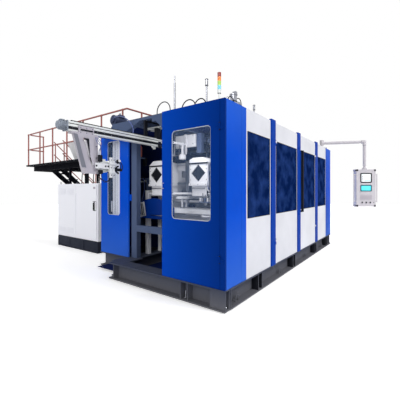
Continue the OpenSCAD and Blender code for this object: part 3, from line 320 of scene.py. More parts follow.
def piece(name, shells, paints, body="machine", replaces=()):
    """One mesh object in metres about the die head, riding on a body."""
    whole = joined([s.outward() for s in shells])
    mesh = bpy.data.meshes.new(name)
    mesh.vertices.add(len(whole.points))
    mesh.vertices.foreach_set("co", ((whole.points - HEAD) / 1000).astype(np.float32).ravel())
    mesh.loops.add(len(whole.loops))
    mesh.loops.foreach_set("vertex_index", whole.loops.astype(np.int32))
    mesh.polygons.add(len(whole.sizes))
    mesh.polygons.foreach_set("loop_start", (np.cumsum(whole.sizes) - whole.sizes).astype(np.int32))
    mesh.polygons.foreach_set("material_index", whole.paint.astype(np.int32))
    mesh.polygons.foreach_set("use_smooth", np.ones(len(whole.sizes), bool))
    mesh.update(calc_edges=True)
    mesh.validate()
    mesh.set_sharp_from_angle(angle=SHARP)
    for paint in paints:
        mesh.materials.append(bpy.data.materials[paint])
    thing = bpy.data.objects.new(name, mesh)
    bpy.context.scene.collection.objects.link(thing)
    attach(thing, body)
    if replaces:
        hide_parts(*replaces)
    return thing


def srgb(r, g, b):
    """A colour written as 0 to 255, in the linear values that Blender takes."""
    c = np.array([r, g, b]) / 255
    return tuple(np.where(c <= 0.04045, c / 12.92, ((c + 0.055) / 1.055) ** 2.4))


class Finish:
    """A node material on Object coordinates, built up a layer at a time."""

    def __init__(self, name):
        plain = bpy.data.materials.get(name)
        if plain:
            plain.name = name + "_plain"
        self.material = bpy.data.materials.new(name)
        self.material.use_nodes = True
        self.tree = self.material.node_tree
        self.shader = self.tree.nodes["Principled BSDF"]
        self.place = self.tree.nodes.new("ShaderNodeTexCoord").outputs["Object"]

    def link(self, a, b):
        self.tree.links.new(a, b)

    def set(self, **values):
        for key, value in values.items():
            self.shader.inputs[key.replace("_", " ")].default_value = value
        return self

    def noise(self, scale, detail=3.0, stretch=(1, 1, 1)):
        """Cloudy values at a scale, drawn out along the axes that stretch makes small."""
        turn = self.tree.nodes.new("ShaderNodeMapping")
        turn.inputs["Scale"].default_value = stretch
        texture = self.tree.nodes.new("ShaderNodeTexNoise")
        texture.inputs["Scale"].default_value = scale
        texture.inputs["Detail"].default_value = detail
        self.link(self.place, turn.inputs["Vector"])
        self.link(turn.outputs["Vector"], texture.inputs["Vector"])
        return texture.outputs["Fac"]

    def along(self, axis):
        """One of the three coordinates, in metres about the die head."""
        node = self.tree.nodes.new("ShaderNodeSeparateXYZ")
        self.link(self.place, node.inputs[0])
        return node.outputs[axis]

    def ranged(self, value, low, high, from_low=0.3, from_high=0.7):
        node = self.tree.nodes.new("ShaderNodeMapRange")
        for key, number in zip(("From Min", "From Max", "To Min", "To Max"),
                               (from_low, from_high, low, high)):
            node.inputs[key].default_value = number
        self.link(value, node.inputs["Value"])
        return node.outputs["Result"]

    def mixed(self, factor, first, second):
        """first and second are colours or the outputs of earlier layers."""
        node = self.tree.nodes.new("ShaderNodeMix")
        node.data_type = "RGBA"
        self.link(factor, node.inputs[0])
        for socket, colour in ((node.inputs[6], first), (node.inputs[7], second)):
            if isinstance(colour, tuple):
                socket.default_value = (*colour, 1)
            else:
                self.link(colour, socket)
        return node.outputs[2]

    def colour(self, value):
        self.link(value, self.shader.inputs["Base Color"])
        return self

    def rough(self, value):
        self.link(value, self.shader.inputs["Roughness"])
        return self

    def relief(self, height, strength, distance=0.001):
        bump = self.tree.nodes.new("ShaderNodeBump")
        bump.inputs["Strength"].default_value = strength
        bump.inputs["Distance"].default_value = distance
        self.link(height, bump.inputs["Height"])
        self.link(bump.outputs["Normal"], self.shader.inputs["Normal"])
        return self


def shade(colour, factor):
    return tuple(min(1.0, c * factor) for c in colour)


def paint(name, colour, rough, level, peel=0.12, dust=0.0, end=None, at=NEAR_END):
    """Powder coat or enamel: a slow drift of the colour, orange peel, dust near the floor, and
    another shade on what lies nearer the near end than `at`, which on guard blue and machine
    white is painted shade. Guard blue also takes painted light low down and near the top, and
    its near end's painted shade deepens towards the front corner."""
    f = Finish(name).set(Specular_IOR_Level=level)
    tone = f.mixed(f.ranged(f.noise(1.7), 0, 1), shade(colour, 0.93), shade(colour, 1.05))
    tone = f.mixed(f.ranged(f.noise(45, 4), 0, 0.5, 0.58, 0.78), tone, shade(colour, 0.86))
    if dust:
        low = f.ranged(f.along("Z"), dust, 0, 0.0, 0.35)
        tone = f.mixed(low, tone, srgb(150, 146, 140))
    if name == "guard_blue":
        # Painted light: guard blue is lighter low down and near the top
        tone = f.mixed(f.ranged(f.along("Z"), 0.34, 0, 0.3, 1.3), tone, srgb(78, 128, 208))
        tone = f.mixed(f.ranged(f.along("Z"), 0, 0.22, 2.1, 2.8), tone, srgb(80, 128, 208))
        # Painted shade on the near end, deepest at the front corner and lighter further back
        end = f.mixed(f.ranged(f.along("Y"), 0, 1, -1.6, -0.45), shade(end, 0.75), shade(end, 1.7))
    if end:
        tone = f.mixed(f.ranged(f.along("X"), 1, 0, at - 0.003, at + 0.003), tone, end)
    f.colour(tone).rough(f.ranged(f.noise(9), *rough))
    return f.relief(f.noise(420, 2), peel, 0.0006)


def metal(name, colour, rough, stretch, scale, level=1.0):
    """Bare metal with its grain drawn out along one axis and a slow change of gloss."""
    f = Finish(name).set(Metallic=level)
    grain = f.noise(scale, 3, stretch)
    f.colour(f.mixed(f.ranged(grain, 0, 1), shade(colour, 0.82), shade(colour, 1.08)))
    f.rough(f.ranged(f.noise(7), *rough))
    return f.relief(grain, 0.12, 0.0005)


def glass(name, colour, alpha, level):
    """Flat sheet whose alpha lets the inside show, with a slight drift of tint and gloss."""
    f = Finish(name).set(Alpha=alpha, Specular_IOR_Level=level)
    f.colour(f.mixed(f.ranged(f.noise(1.2), 0, 1), shade(colour, 0.8), shade(colour, 1.2)))
    f.rough(f.ranged(f.noise(3), 0.03, 0.08))
    return f.relief(f.noise(0.9, 1), 0.05, 0.02)


def lens(name, colour):
    """Coloured polycarbonate that glows a little, with moulding waves."""
    f = Finish(name).set(Emission_Strength=0.25, Specular_IOR_Level=0.5, Coat_Weight=0.4)
    f.shader.inputs["Emission Color"].default_value = (*colour, 1)
    f.colour(f.mixed(f.ranged(f.noise(30), 0, 1), shade(colour, 0.75), shade(colour, 1.1)))
    f.rough(f.ranged(f.noise(50), 0.15, 0.3))
    return f.relief(f.noise(200, 2), 0.1)


class LinePaints(bpy.types.PropertyGroup):
    """Colours of the machine's paints."""

    blue: FloatVectorProperty(name="Guard blue", description="Doors, strips and corner boxes",
                              subtype="COLOR", default=srgb(3, 74, 196), min=0, max=1)
    white: FloatVectorProperty(name="Panel white", description="Panels and swinging doors",
                               subtype="COLOR", default=srgb(213, 214, 221), min=0, max=1)
    base: FloatVectorProperty(name="Base", description="Base beams of the machine",
                              subtype="COLOR", default=srgb(60, 66, 84), min=0, max=1)
    posts: FloatVectorProperty(name="Frame", description="Posts and rails of the guard frame",
                               subtype="COLOR", default=srgb(78, 92, 122), min=0, max=1)
    rails: FloatVectorProperty(name="Handrails", description="Handrails of the walkway",
                               subtype="COLOR", default=srgb(150, 84, 78), min=0, max=1)
    tint: FloatVectorProperty(name="Window tint", description="Panes along the operator side",
                              subtype="COLOR", default=srgb(10, 34, 86), min=0, max=1)


class LineSizes(bpy.types.PropertyGroup):
    """Sizes of the dressing that a user may change."""

    gasket: FloatProperty(name="Gasket width", description="Width of the window rubbers",
                          default=8.0, min=4.0, max=24.0, unit="NONE")
    bolt: FloatProperty(name="Bolt size", description="Thread size of the frame bolts",
                        default=14.0, min=10.0, max=24.0, unit="NONE")
    tint_alpha: FloatProperty(name="Tint density", description="How much the tinted panes hide",
                              default=0.93, min=0.3, max=1.0, subtype="FACTOR")


class LINE_OT_finishes(bpy.types.Operator):
    """Makes every finish and gives each CAD node the one of its slot, or its own for three nodes"""

    bl_idname = "line.finishes"
    bl_label = "Finishes"

    def execute(self, context):
        p = context.scene.line_paints
        s = context.scene.line_sizes
        colour = {key: tuple(getattr(p, key))
                  for key in ("blue", "white", "base", "posts", "rails", "tint")}
        paint("base_paint", colour["base"], (0.5, 0.65), 0.06, 0.3, 0.3)
        paint("black_steel", srgb(24, 26, 33), (0.4, 0.55), 0.12, 0.2)
        paint("frame_paint", colour["posts"], (0.45, 0.6), 0.06)
        # The near end of guard blue takes painted shade, 0.46 of the colour
        paint("guard_blue", colour["blue"], (0.4, 0.5), 0.02, end=shade(colour["blue"], 0.46))
        paint("guard_white", colour["white"], (0.28, 0.4), 0.4)
        pane = glass("tinted_glass", colour["tint"], s.tint_alpha, 0.0)
        # Painted reflection: a mottle of lighter blue over the tinted panes
        painted_reflection = pane.ranged(pane.noise(4.5, 8), 0, 1, 0.4, 0.75)
        pane.colour(pane.mixed(painted_reflection, shade(colour["tint"], 0.7), srgb(36, 62, 122)))
        paint("strip_blue", shade(colour["blue"], 0.6), (0.4, 0.5), 0.02)
        # Painted shade: a darker copy of guard blue for the drive cover inside the guard
        paint("cover_blue_painted_shade", shade(colour["blue"], 0.4), (0.35, 0.5), 0.1)
        glass("clear_glass", srgb(150, 180, 230), 0.06, 0.02)
        metal("profile_aluminium", srgb(224, 227, 226), (0.35, 0.5), (0.02, 1, 1), 160, 0.35)
        paint("grey_cast", srgb(62, 70, 96), (0.5, 0.65), 0.1, 0.6, end=srgb(140, 148, 160),
              at=-4.0)
        # Painted shade: machine white turns grey past the near end, on the take-out carriage and
        # gripper
        paint("machine_white", srgb(240, 240, 244), (0.3, 0.45), 0.3, 0.2, end=srgb(176, 172, 182))
        # Painted shade along the fold of the take-out bracket
        paint("fold_shade_grey", srgb(116, 118, 128), (0.4, 0.55), 0.2)
        paint("gripper_grey", srgb(214, 216, 220), (0.3, 0.45), 0.3, 0.2)
        paint("steel_blue", srgb(84, 98, 130), (0.3, 0.45), 0.4, 0.2)
        # Dark navy that stands for the shade inside the guard: painted shade
        paint("painted_shade_lining", srgb(18, 30, 76), (0.6, 0.75), 0.03, 0.3)
        paint("charcoal", srgb(40, 44, 56), (0.5, 0.65), 0.08, 0.4)
        paint("hose_blue", srgb(80, 94, 146), (0.4, 0.55), 0.2, 0.2)
        paint("bezel_teal", srgb(24, 92, 108), (0.3, 0.4), 0.4, 0.2)
        paint("key_grey", srgb(178, 172, 182), (0.4, 0.5), 0.3, 0.2)
        paint("key_bed", srgb(198, 193, 200), (0.4, 0.5), 0.3, 0.2)
        paint("hose_rubber", srgb(30, 33, 40), (0.6, 0.8), 0.04, 0.5)
        lens("lens_red", srgb(140, 26, 18))
        lens("lens_amber", srgb(240, 140, 60))
        lens("lens_green", srgb(176, 212, 96))
        lens("lens_blue", srgb(130, 214, 232))
        metal("bright_steel", srgb(160, 162, 170), (0.15, 0.3), (1, 1, 0.05), 200)
        metal("mould_aluminium", srgb(190, 194, 200), (0.3, 0.45), (1, 1, 1), 90)
        paint("bin_paint", srgb(228, 229, 232), (0.4, 0.55), 0.35, 0.2)
        tread = paint("platform_paint", srgb(14, 16, 24), (0.6, 0.75), 0.04)
        tread.relief(tread.noise(60, 0, (1, 1, 0.2)), 0.6, 0.003)
        paint("rail_red", colour["rails"], (0.35, 0.5), 0.4, 0.2)
        paint("cabinet_paint", srgb(204, 200, 206), (0.4, 0.55), 0.2, 0.3, end=srgb(236, 237, 244),
              at=-1.0)
        for name, tone in (("screen_glass", srgb(20, 26, 40)),
                           ("display_white", srgb(236, 250, 252)),
                           ("display_cyan", srgb(84, 232, 244))):
            screen = glass(name, tone, 1.0, 0.5).set(Emission_Strength=0.4)
            screen.shader.inputs["Emission Color"].default_value = (*tone, 1)
        for row in frame["record"]["subparts"]:
            slots = frame["nodes"][row["node"]].data.materials
            slots.clear()
            # The drive cover takes the darker copy of guard blue, its painted shade
            own = {"drive_cover": "cover_blue_painted_shade", "front_strips": "strip_blue",
                   "trim_bed": "bin_paint"}
            slots.append(bpy.data.materials[own.get(row["node"], row["material_slot"])])
        return {"FINISHED"}


class LINE_OT_gaskets(bpy.types.Operator):
    """Rubber gaskets round the windows of the operator side"""

    bl_idname = "line.gaskets"
    bl_label = "Window gaskets"

    def execute(self, context):
        w = context.scene.line_sizes.gasket
        lip = np.array([(-w / 2, 0), (w / 2, 0), (w / 2, 2.5), (w / 4, 4.5), (-w / 4, 4.5),
                        (-w / 2, 2.5)])

        def front(x0, x1):
            ring = rounded(x1 - x0, PANE_H, 8, 4)
            path = np.stack([ring[:, 0] + (x0 + x1) / 2, 0 * ring[:, 0], ring[:, 1] + PANE_Z], -1)
            return carried(lip, path, FRONT, True)

        outer = front(626, 1444)
        piece("gaskets_fixed", [outer, mirror_x(outer)], ["hose_rubber"])
        piece("gasket_left_door", [front(1729, 2856)], ["hose_rubber"], "left_front_door")
        piece("gasket_right_door", [mirror_x(front(1729, 2856))], ["hose_rubber"],
              "right_front_door")
        return {"FINISHED"}


class LINE_OT_feet(bpy.types.Operator):
    """Levelling pads, nuts on jacking studs, lifting lugs, bolts, painted shade in base recesses"""

    bl_idname = "line.feet"
    bl_label = "Levelling feet and base fittings"

    def execute(self, context):
        z = np.arange(0, 118, 2.4)
        thread = np.stack([11.2 + 0.8 * (np.arange(len(z)) % 2), z + 35], -1)
        stud = turned(thread, n=12)
        nut = turned([(21.5, 35.1), (23.5, 37), (23.5, 55), (21.5, 57)], n=6)
        one = joined([stud.painted(1), nut.painted(1)])
        pad = turned([(53, 0), (55, 2), (55, 13), (53, 14.9)], n=36)
        rear_x = np.append(FEET_X[1:], 640)
        along = [(x, 120, 0) for x in FEET_X] + [(x, 3280, 0) for x in rear_x]
        pads = copies(pad, along + [(120, 690, 0)])
        studs = [(x, y + s, 0) for x, y, _ in along for s in (-75, 75)]
        studs += [(45, 690, 0), (195, 690, 0)]
        disc = turned([(78, 0), (80, 2), (80, 13), (78, 14.9)], n=36)
        middle = copies(disc, [(x, HEAD_Y, 0) for x in STRIPS])
        piece("levelling_pads", [pads, middle, copies(one, studs)], ["black_steel", "bright_steel"],
              replaces=("levelling_feet",))
        ring = np.linspace(0, np.pi, 15)
        eye = np.stack([40 * np.cos(ring), 0 * ring, 46 + 40 * np.sin(ring)], -1)
        eye = np.concatenate([[[40, 0, 0]], eye, [[-40, 0, 0]]])
        lug = carried(circle(22, 10), eye, REAR)
        size = context.scene.line_sizes.bolt
        joints = hex_bolts(spread(np.array([2150, 2190, 3810, 3850]), 103, (80, 240)), FRONT, size)
        lugs = copies(lug, spread((420, 2060, 3700, 5180), 60, 35))
        # Painted shade: black plates over the stiffener pairs and the web between them at the feet
        pocket_shade = []
        for x in FEET_X[1:]:
            pocket_shade += [block(x - 60, x + 60, 107, 112.6, 22, 282, 1),
                        block(x - 60, x - 57, -5, 107, 22, 282, 1),
                        block(x + 57, x + 60, -5, 107, 22, 282, 1),
                        block(x - 75.5, x - 72.2, -5, 107, 22, 282, 1)]
        piece("base_fittings", [joints, lugs, *[s.painted(1) for s in pocket_shade]],
              ["base_paint", "black_steel"])
        return {"FINISHED"}


class LINE_OT_guard_trim(bpy.types.Operator):
    """Screws of the strips, hinge caps, pulls and louvres of rear and far panels, door pull grip"""

    bl_idname = "line.guard_trim"
    bl_label = "Guard trim"

    def execute(self, context):
        heights = np.arange(360, 2790, 240.0)
        steel = [screws(spread((x - 80, x + 80), -15, heights), FRONT, 9) for x in STRIPS]
        steel = [s.painted(1) for s in steel]
        steel += [screws(spread(6000, (3360, 1640, 1560, 55), heights), FAR, 9),
                  screws(spread(460, (2500, 3360), heights), NEAR, 9)]
        piece("panel_screws", steel, ["bright_steel", "guard_blue"])

        cap = turned([(9.5, 0), (11, 1.5), (11, 6), (6, 10), (2, 11)], n=16)
        foot = turned([(2, -11), (6, -10), (11, -6), (11, -1.5), (9.5, 0)], n=16)
        low, high = [], []
        for z in (655.0, 2400.0):
            for x, y in ((1690.0, -12.0), (4310.0, -12.0), (-12.0, 78.0)):
                low.append(foot.moved((x, y, z)))
                high.append(cap.moved((x, y, z + 80)))
        piece("hinge_caps", low + high, ["black_steel"])

        button = [(22, 0), (24, 1.5), (24, 5), (20, 7), (8, 7)]
        rear = turned(button, axis=REAR)
        bow = smooth_path([(0, 0, 0), (0, 34, 6), (0, 42, 60), (0, 34, 114), (0, 0, 120)], 24)
        pull = carried(circle(13, 12), bow, FAR)
        edges = [502.0, *STRIPS, 5970.0]
        backs = []
        for x0, x1 in zip(edges[:-1], edges[1:]):
            middle = (x0 + x1) / 2
            backs += [copies(rear, spread((x0 + 60, x1 - 60), REAR_Y, (500, 1500, 2600))),
                      copies(pull, spread((middle - 260, middle + 260), REAR_Y - 1,
                                          1480)).painted(1)]
            slat = louvre(150, 10, 12, 9, NEAR)
            add(backs, 2, copies(slat, spread(middle, REAR_Y, np.arange(640, 940, 30.0))))
        piece("rear_panel_fittings", backs, ["black_steel", "bright_steel", "guard_white"])

        side = turned(button, axis=FAR)
        bow_x = smooth_path([(0, 0, 0), (4, 0, 6), (5.5, 0, 60), (4, 0, 114), (0, 0, 120)], 24)
        pull_x = carried(circle(8, 12), bow_x, REAR)
        far = [copies(side, spread(6000, (110, 1500, 1700, 3300), (500, 1500, 2600)))]
        add(far, 1, copies(pull_x, spread(5999, (800, 2450), 1480)))
        slat = louvre(240, 10, 14, 9, REAR)
        add(far, 2, copies(slat, spread(6000, (800, 2450), np.arange(640, 980, 32.0))))
        piece("far_end_fittings", far, ["black_steel", "bright_steel", "guard_blue"])

        grip = [turned([(13, 0), (16, 2), (16, 8), (12, 9)], (3113, 0, z), FRONT, 20)
                for z in (1150.0, 1850.0, 2450.0)]
        shaft = smooth_path([(3136, -44, 1136), (3136, -44, 1800), (3136, -44, 2464)], 12)
        grip.append(carried(rounded(30, 46, 9, 4), shaft, FRONT))
        piece("door_pull_grip", grip, ["black_steel"], "right_front_door")
        return {"FINISHED"}


def hose_arc(x, y, span, turn, d, riser):
    """Straight up from one fitting, over in a half circle, and straight down to the other."""
    a = math.radians(turn)
    r = span / 2
    t = np.linspace(0, np.pi, 25)
    s = np.concatenate([[-r] * 4, -r * np.cos(t)[1:-1], [r] * 4])
    up = np.linspace(0, riser, 4)
    z = np.concatenate([up, riser + r * np.sin(t)[1:-1], up[::-1]])
    path = np.stack([x + s * math.cos(a), y + s * math.sin(a), ROOF_Z + z], -1)
    shells = [carried(circle(d * HOSE_SHARE, 14), path, (-math.sin(a), math.cos(a), 0))]
    sleeve = [(d * 0.85, 0), (d * 0.85, 12), (d * 0.66, 14), (d * 0.66, 40), (d * 0.6, 46),
              (d * 0.52, 48)]
    for k in (-r, r):
        foot = (x + k * math.cos(a), y + k * math.sin(a), ROOF_Z)
        add(shells, 1, turned(sleeve, foot, n=16),
            turned([(d * 0.95, 0.2), (d * 0.95, 9)], foot, n=6))
    return shells


class LINE_OT_roof(bpy.types.Operator):
    """Roof: hoses between fittings, motor fittings, junction boxes, cable tray, column bands"""

    bl_idname = "line.roof"
    bl_label = "Roof equipment"

    def execute(self, context):
        arcs = [(300, 1385, 300, 90, 24, 120), (280, 830, 270, 90, 26, 60),
                (380, 690, 300, 78, 26, 60), (560, 240, 180, 0, 22, 110),
                (4560, 1080, 280, 15, 34, 120), (4800, 2100, 300, 80, 34, 120)]
        piece("roof_hose_set", sum((hose_arc(*a) for a in arcs), []),
              ["hose_rubber", "bright_steel"], replaces=("roof_hoses",))

        z = ROOF_Z
        cases = ((900, 1080, 420, 560, 90), (5000, 5260, 600, 800, 110),
                 (4700, 4860, 2500, 2620, 80))
        boxes = [block(x0, x1, y0, y1, z, z + h, 8) for x0, x1, y0, y1, h in cases]
        lids = [block(x0 - 4, x1 + 4, y0 - 4, y1 + 4, z + h, z + h + 8, 3)
                for x0, x1, y0, y1, h in cases]
        glands = [bar((x, 420, z + 45), (x, 396, z + 45), 22) for x in (930.0, 990.0, 1050.0)]
        glands += [bar((x, 600, z + 50), (x, 574, z + 50), 24) for x in (5060.0, 5130.0, 5200.0)]
        eye = lifting_eye(26, 12, 44, [(20, 0), (20, 8), (11, 20)], 20)
        eyes = [copies(eye, [(200, 80, z), (5850, 80, z), (5850, 3240, z)]).painted(1)]
        tray = [(-75, 0), (75, 0), (75, 50), (72, 50), (72, 3), (-72, 3), (-72, 50), (-75, 50)]
        run = np.array([(4500.0, 400, z), (5800.0, 400, z)])
        trays = [carried(np.array(tray), run)]
        cables = [hose([(4500, 400 + k, z + 13), (5000, 396 + k, z + 12),
                        (5400, 404 + k, z + 13), (5800, 400 + k, z + 12)], 18, UP, 24).painted(2)
                  for k in (-50, -28, -6, 16, 38)]
        piece("roof_boxes", boxes + lids + glands + eyes + trays + cables,
              ["cabinet_paint", "bright_steel", "hose_rubber"])

        band = turned([(32.5, 0), (35, 2), (35, 14), (32.5, 16)], n=24)
        for end, side, x in (("near", "left", BLOW_X[0]), ("far", "right", BLOW_X[1])):
            bands = copies(band, spread(x, HEAD_Y, (3852, 3984)))
            piece(f"{end}_blow_column_bands", [bands], ["black_steel"], f"{side}_blow_unit")

        motor = [turned([(100, 0), (104, 4), (104, 20), (96, 24)], (482, 3000, 3055), FAR, 40),
                 turned([(52, 0), (58, 3), (58, 24), (30, 30), (28, 24)], (455, 3000, 3055), FAR),
                 block(560, 700, 2890, 2960, 3110, 3170, 8),
                 hex_bolts([(486, 3000 + 80 * math.cos(a), 3055 + 80 * math.sin(a))
                            for a in (0.78, 2.36)], NEAR, 10, 1)]
        for y in (2908.0, 2942.0):
            add(motor, 1, turned([(14, 0), (14, 10), (10, 12), (10, 34), (7, 36)], (600, y, 3170),
                                 n=6))
        piece("roof_motor_fittings", motor, ["grey_cast", "bright_steel"])
        bend = smooth_path([(480, 2997, 3083), (360, 2705, 3051), (200, 2374, 2969),
                            (80, 2079, 2859), (0, 1874, 2747), (-20, 1779, 2645),
                            (-40, 1750, 2563), (-100, 1727, 2485), (-200, 1679, 2429)], 60)
        loop = [carried(circle(18, 12), bend, (1.0, -0.4, 0.3))]
        add(loop, 1, turned([(15, 0), (15, 14), (11, 18), (11, 30)], (-199, 1640, 2429), REAR, 6))
        piece("motor_hose", loop, ["hose_blue", "bright_steel"])
        return {"FINISHED"}


class LINE_OT_take_out(bpy.types.Operator):
    """Take-out: guide strips of the beam, pulley, cable chain, bracket plates, gripper fittings"""

    bl_idname = "line.take_out"
    bl_label = "Take-out"

    def execute(self, context):
        strips = [block(-1243, 597, y, y + 6.5, 2384, 2420, 2) for y in (1561.5, 1632.0)]
        strips += [block(-1243, 597, y, y + 5, 2453, 2461, 1) for y in (1561.0, 1634.0)]
        strips.append(block(68, 132, 1586, 1614, 2481, 2758, 3))
        strips += [block(x, x + 84, 1568, 1632, 2481, 2678, 3) for x in (328.0, 478.0)]
        for y, axis in ((1561.5, FRONT), (1638.5, REAR)):
            strips.append(screws(spread(np.arange(-1180, 590, 118.0), y, 2402), axis, 11, 1))
        piece("beam_guides", strips, ["black_steel", "bright_steel"])

        rim = [(30, 0), (42, 2), (42, 5), (38, 7), (38, 17), (42, 19), (42, 22), (30, 24), (14, 24),
               (12, 30)]
        wheel = [turned(rim, (382, 1560, 2372), FRONT, 32)]
        add(wheel, 1, turned([(10, 0), (12, 2), (12, 8), (8, 10)], (382, 1531, 2372), FRONT, 6),
            plate(rounded(70, 96, 10), 6, (382, 1560, 2392), FAR, UP))
        piece("beam_pulley", wheel, ["black_steel", "bright_steel"])

        link = joined([block(-15, 15, -22, -16, -11, 11, 2), block(-15, 15, 16, 22, -11, 11, 2),
                       block(-5, 5, -17, 17, 8, 11, 1), block(-5, 5, -17, 17, -11, -8, 1)])
        chain = copies(link, spread(np.arange(-1180, 300, 32.0), 1598, 2494))
        tray = [(-27, 0), (27, 0), (27, 10), (25, 10), (25, 2), (-25, 2), (-25, 10), (-27, 10)]
        run = carried(np.array(tray), [(-1240.0, 1598, 2480.5), (320.0, 1598, 2480.5)])
        piece("energy_chain", [chain, run.painted(1)], ["black_steel", "profile_aluminium"])

        drive = [turned([(58, 0), (61.5, 2), (61.5, 10), (58, 12)], (-1310, 1600, 2422), NEAR, 36),
                 block(-1330, -1272, 1572, 1628, 2480, 2496, 4),
                 hex_bolts(spread(-1260, (1550, 1650), (2364, 2480)), NEAR, 9, 1)]
        piece("beam_motor_fittings", drive, ["grey_cast", "bright_steel"])

        plate_y = 1535.7
        bolts = [hex_bolts(spread((-1085, -1000, -915), plate_y, (2362, 2424)), FRONT, 8, 1)]
        bolts += [block(-1088, -910, plate_y - 9, plate_y, 2384, 2404, 2).painted(2),
                  hex_bolts(spread((-860, -850), plate_y, (1880, 2040, 2200)), FRONT, 6, 1)]
        # Painted shade: the black slit is shade seen through what the web leaves open of the
        # bracket's window, and the grey strip is shade along the bracket's fold
        web = np.array([(-88, 114), (-78, 114), (-78, 468), (-214, 468)])
        slit = np.array([(-138, 190), (-132, 190), (-150, 462), (-226, 462), (-224, 444),
                         (-186, 436), (-150, 290)])
        fold = np.array([(-254, 75), (-190, 75), (-312, 500), (-368, 500)])
        bolts.append(plate(web, 6, (-830, 1519.6, 1826), FAR, UP, 1))
        for outline, shade_of in ((slit, 2), (fold, 3)):
            sheet = plate(outline, 1.6, (-830, 1511.6, 1826), FAR, UP, 0.4)
            add(bolts, shade_of, sheet)
        piece("carriage_fittings", bolts, ["machine_white", "bright_steel", "black_steel",
                                           "fold_shade_grey"], "take_out")

        bar_z, front = 1936.0, 1511.0
        body = [block(-852, -797, front - 34, front, 1990, 2087, 5),
                block(-850, -790, front - 34, front, 1826, 1881, 5),
                block(-895, -597, front - 22, front, bar_z - 38, bar_z + 40, 4).painted(1),
                block(-684, -640, front - 44, front - 22, 1778, 2065, 4).painted(1),
                block(-634, -606, front - 44, front - 22, 1800, 2040, 4).painted(1),
                block(-690, -600, front - 52, front - 20, 1960, 1996, 3).painted(1),
                block(-690, -600, front - 52, front - 20, 1840, 1866, 3).painted(1)]
        body += [hex_bolts(spread((-884, -742, -700), front - 22, bar_z), FRONT, 13),
                 hex_bolts(spread((-662, -620), front - 44, (1815, 1920, 2030)), FRONT,
                           9).painted(3)]
        turn = np.linspace(0.02, np.pi - 0.02, 14)
        ball = np.stack([31 * np.sin(turn), -31 * np.cos(turn)], -1)
        body += [turned(ball, (-541, front - 30, 2015), FAR, 20),
                 turned([(16, 0), (19, 3), (19, 12), (16, 15)], (-541, front - 58, 2022),
                        (0, -1, 0.2), 18).painted(1),
                 bar((-606, front - 32, 2005), (-560, front - 32, 2012), 16).painted(3)]
        arc = np.linspace(-0.6, 1.5, 30)
        for k in (0, 26):
            hoop = np.stack([-560 + (95 - k / 2) * np.cos(arc[::-1]), front - 34 + 0 * arc + k,
                             1935 + 96 * np.sin(arc[::-1])], -1)
            body.append(carried(circle(11, 8), hoop, REAR))
        for k, a in enumerate((-846, -830, -812)):
            add(body, 2, hose([(a, front - 16, 2083), (a, front - 22, 2137),
                               (a + 10 - 14 * k, front - 40, 2197),
                               (a - 30 + 18 * k, front - 20, 2257), (a - 44, front - 6, 2319)], 8,
                              REAR))
        for k in (0, 1):
            body.append(hose([(-840 + 30 * k, front - 16, 1830), (-836 + 30 * k, front - 20, 1782),
                              (-780, front - 30, 1738 - 16 * k), (-720, front - 34, 1730 - 10 * k),
                              (-672 + 20 * k, front - 33, 1782)], 9, (0, 1, 0.1), 36))
        piece("gripper_fittings", body, ["black_steel", "gripper_grey", "hose_blue",
                                         "bright_steel"], "take_out")
        return {"FINISHED"}


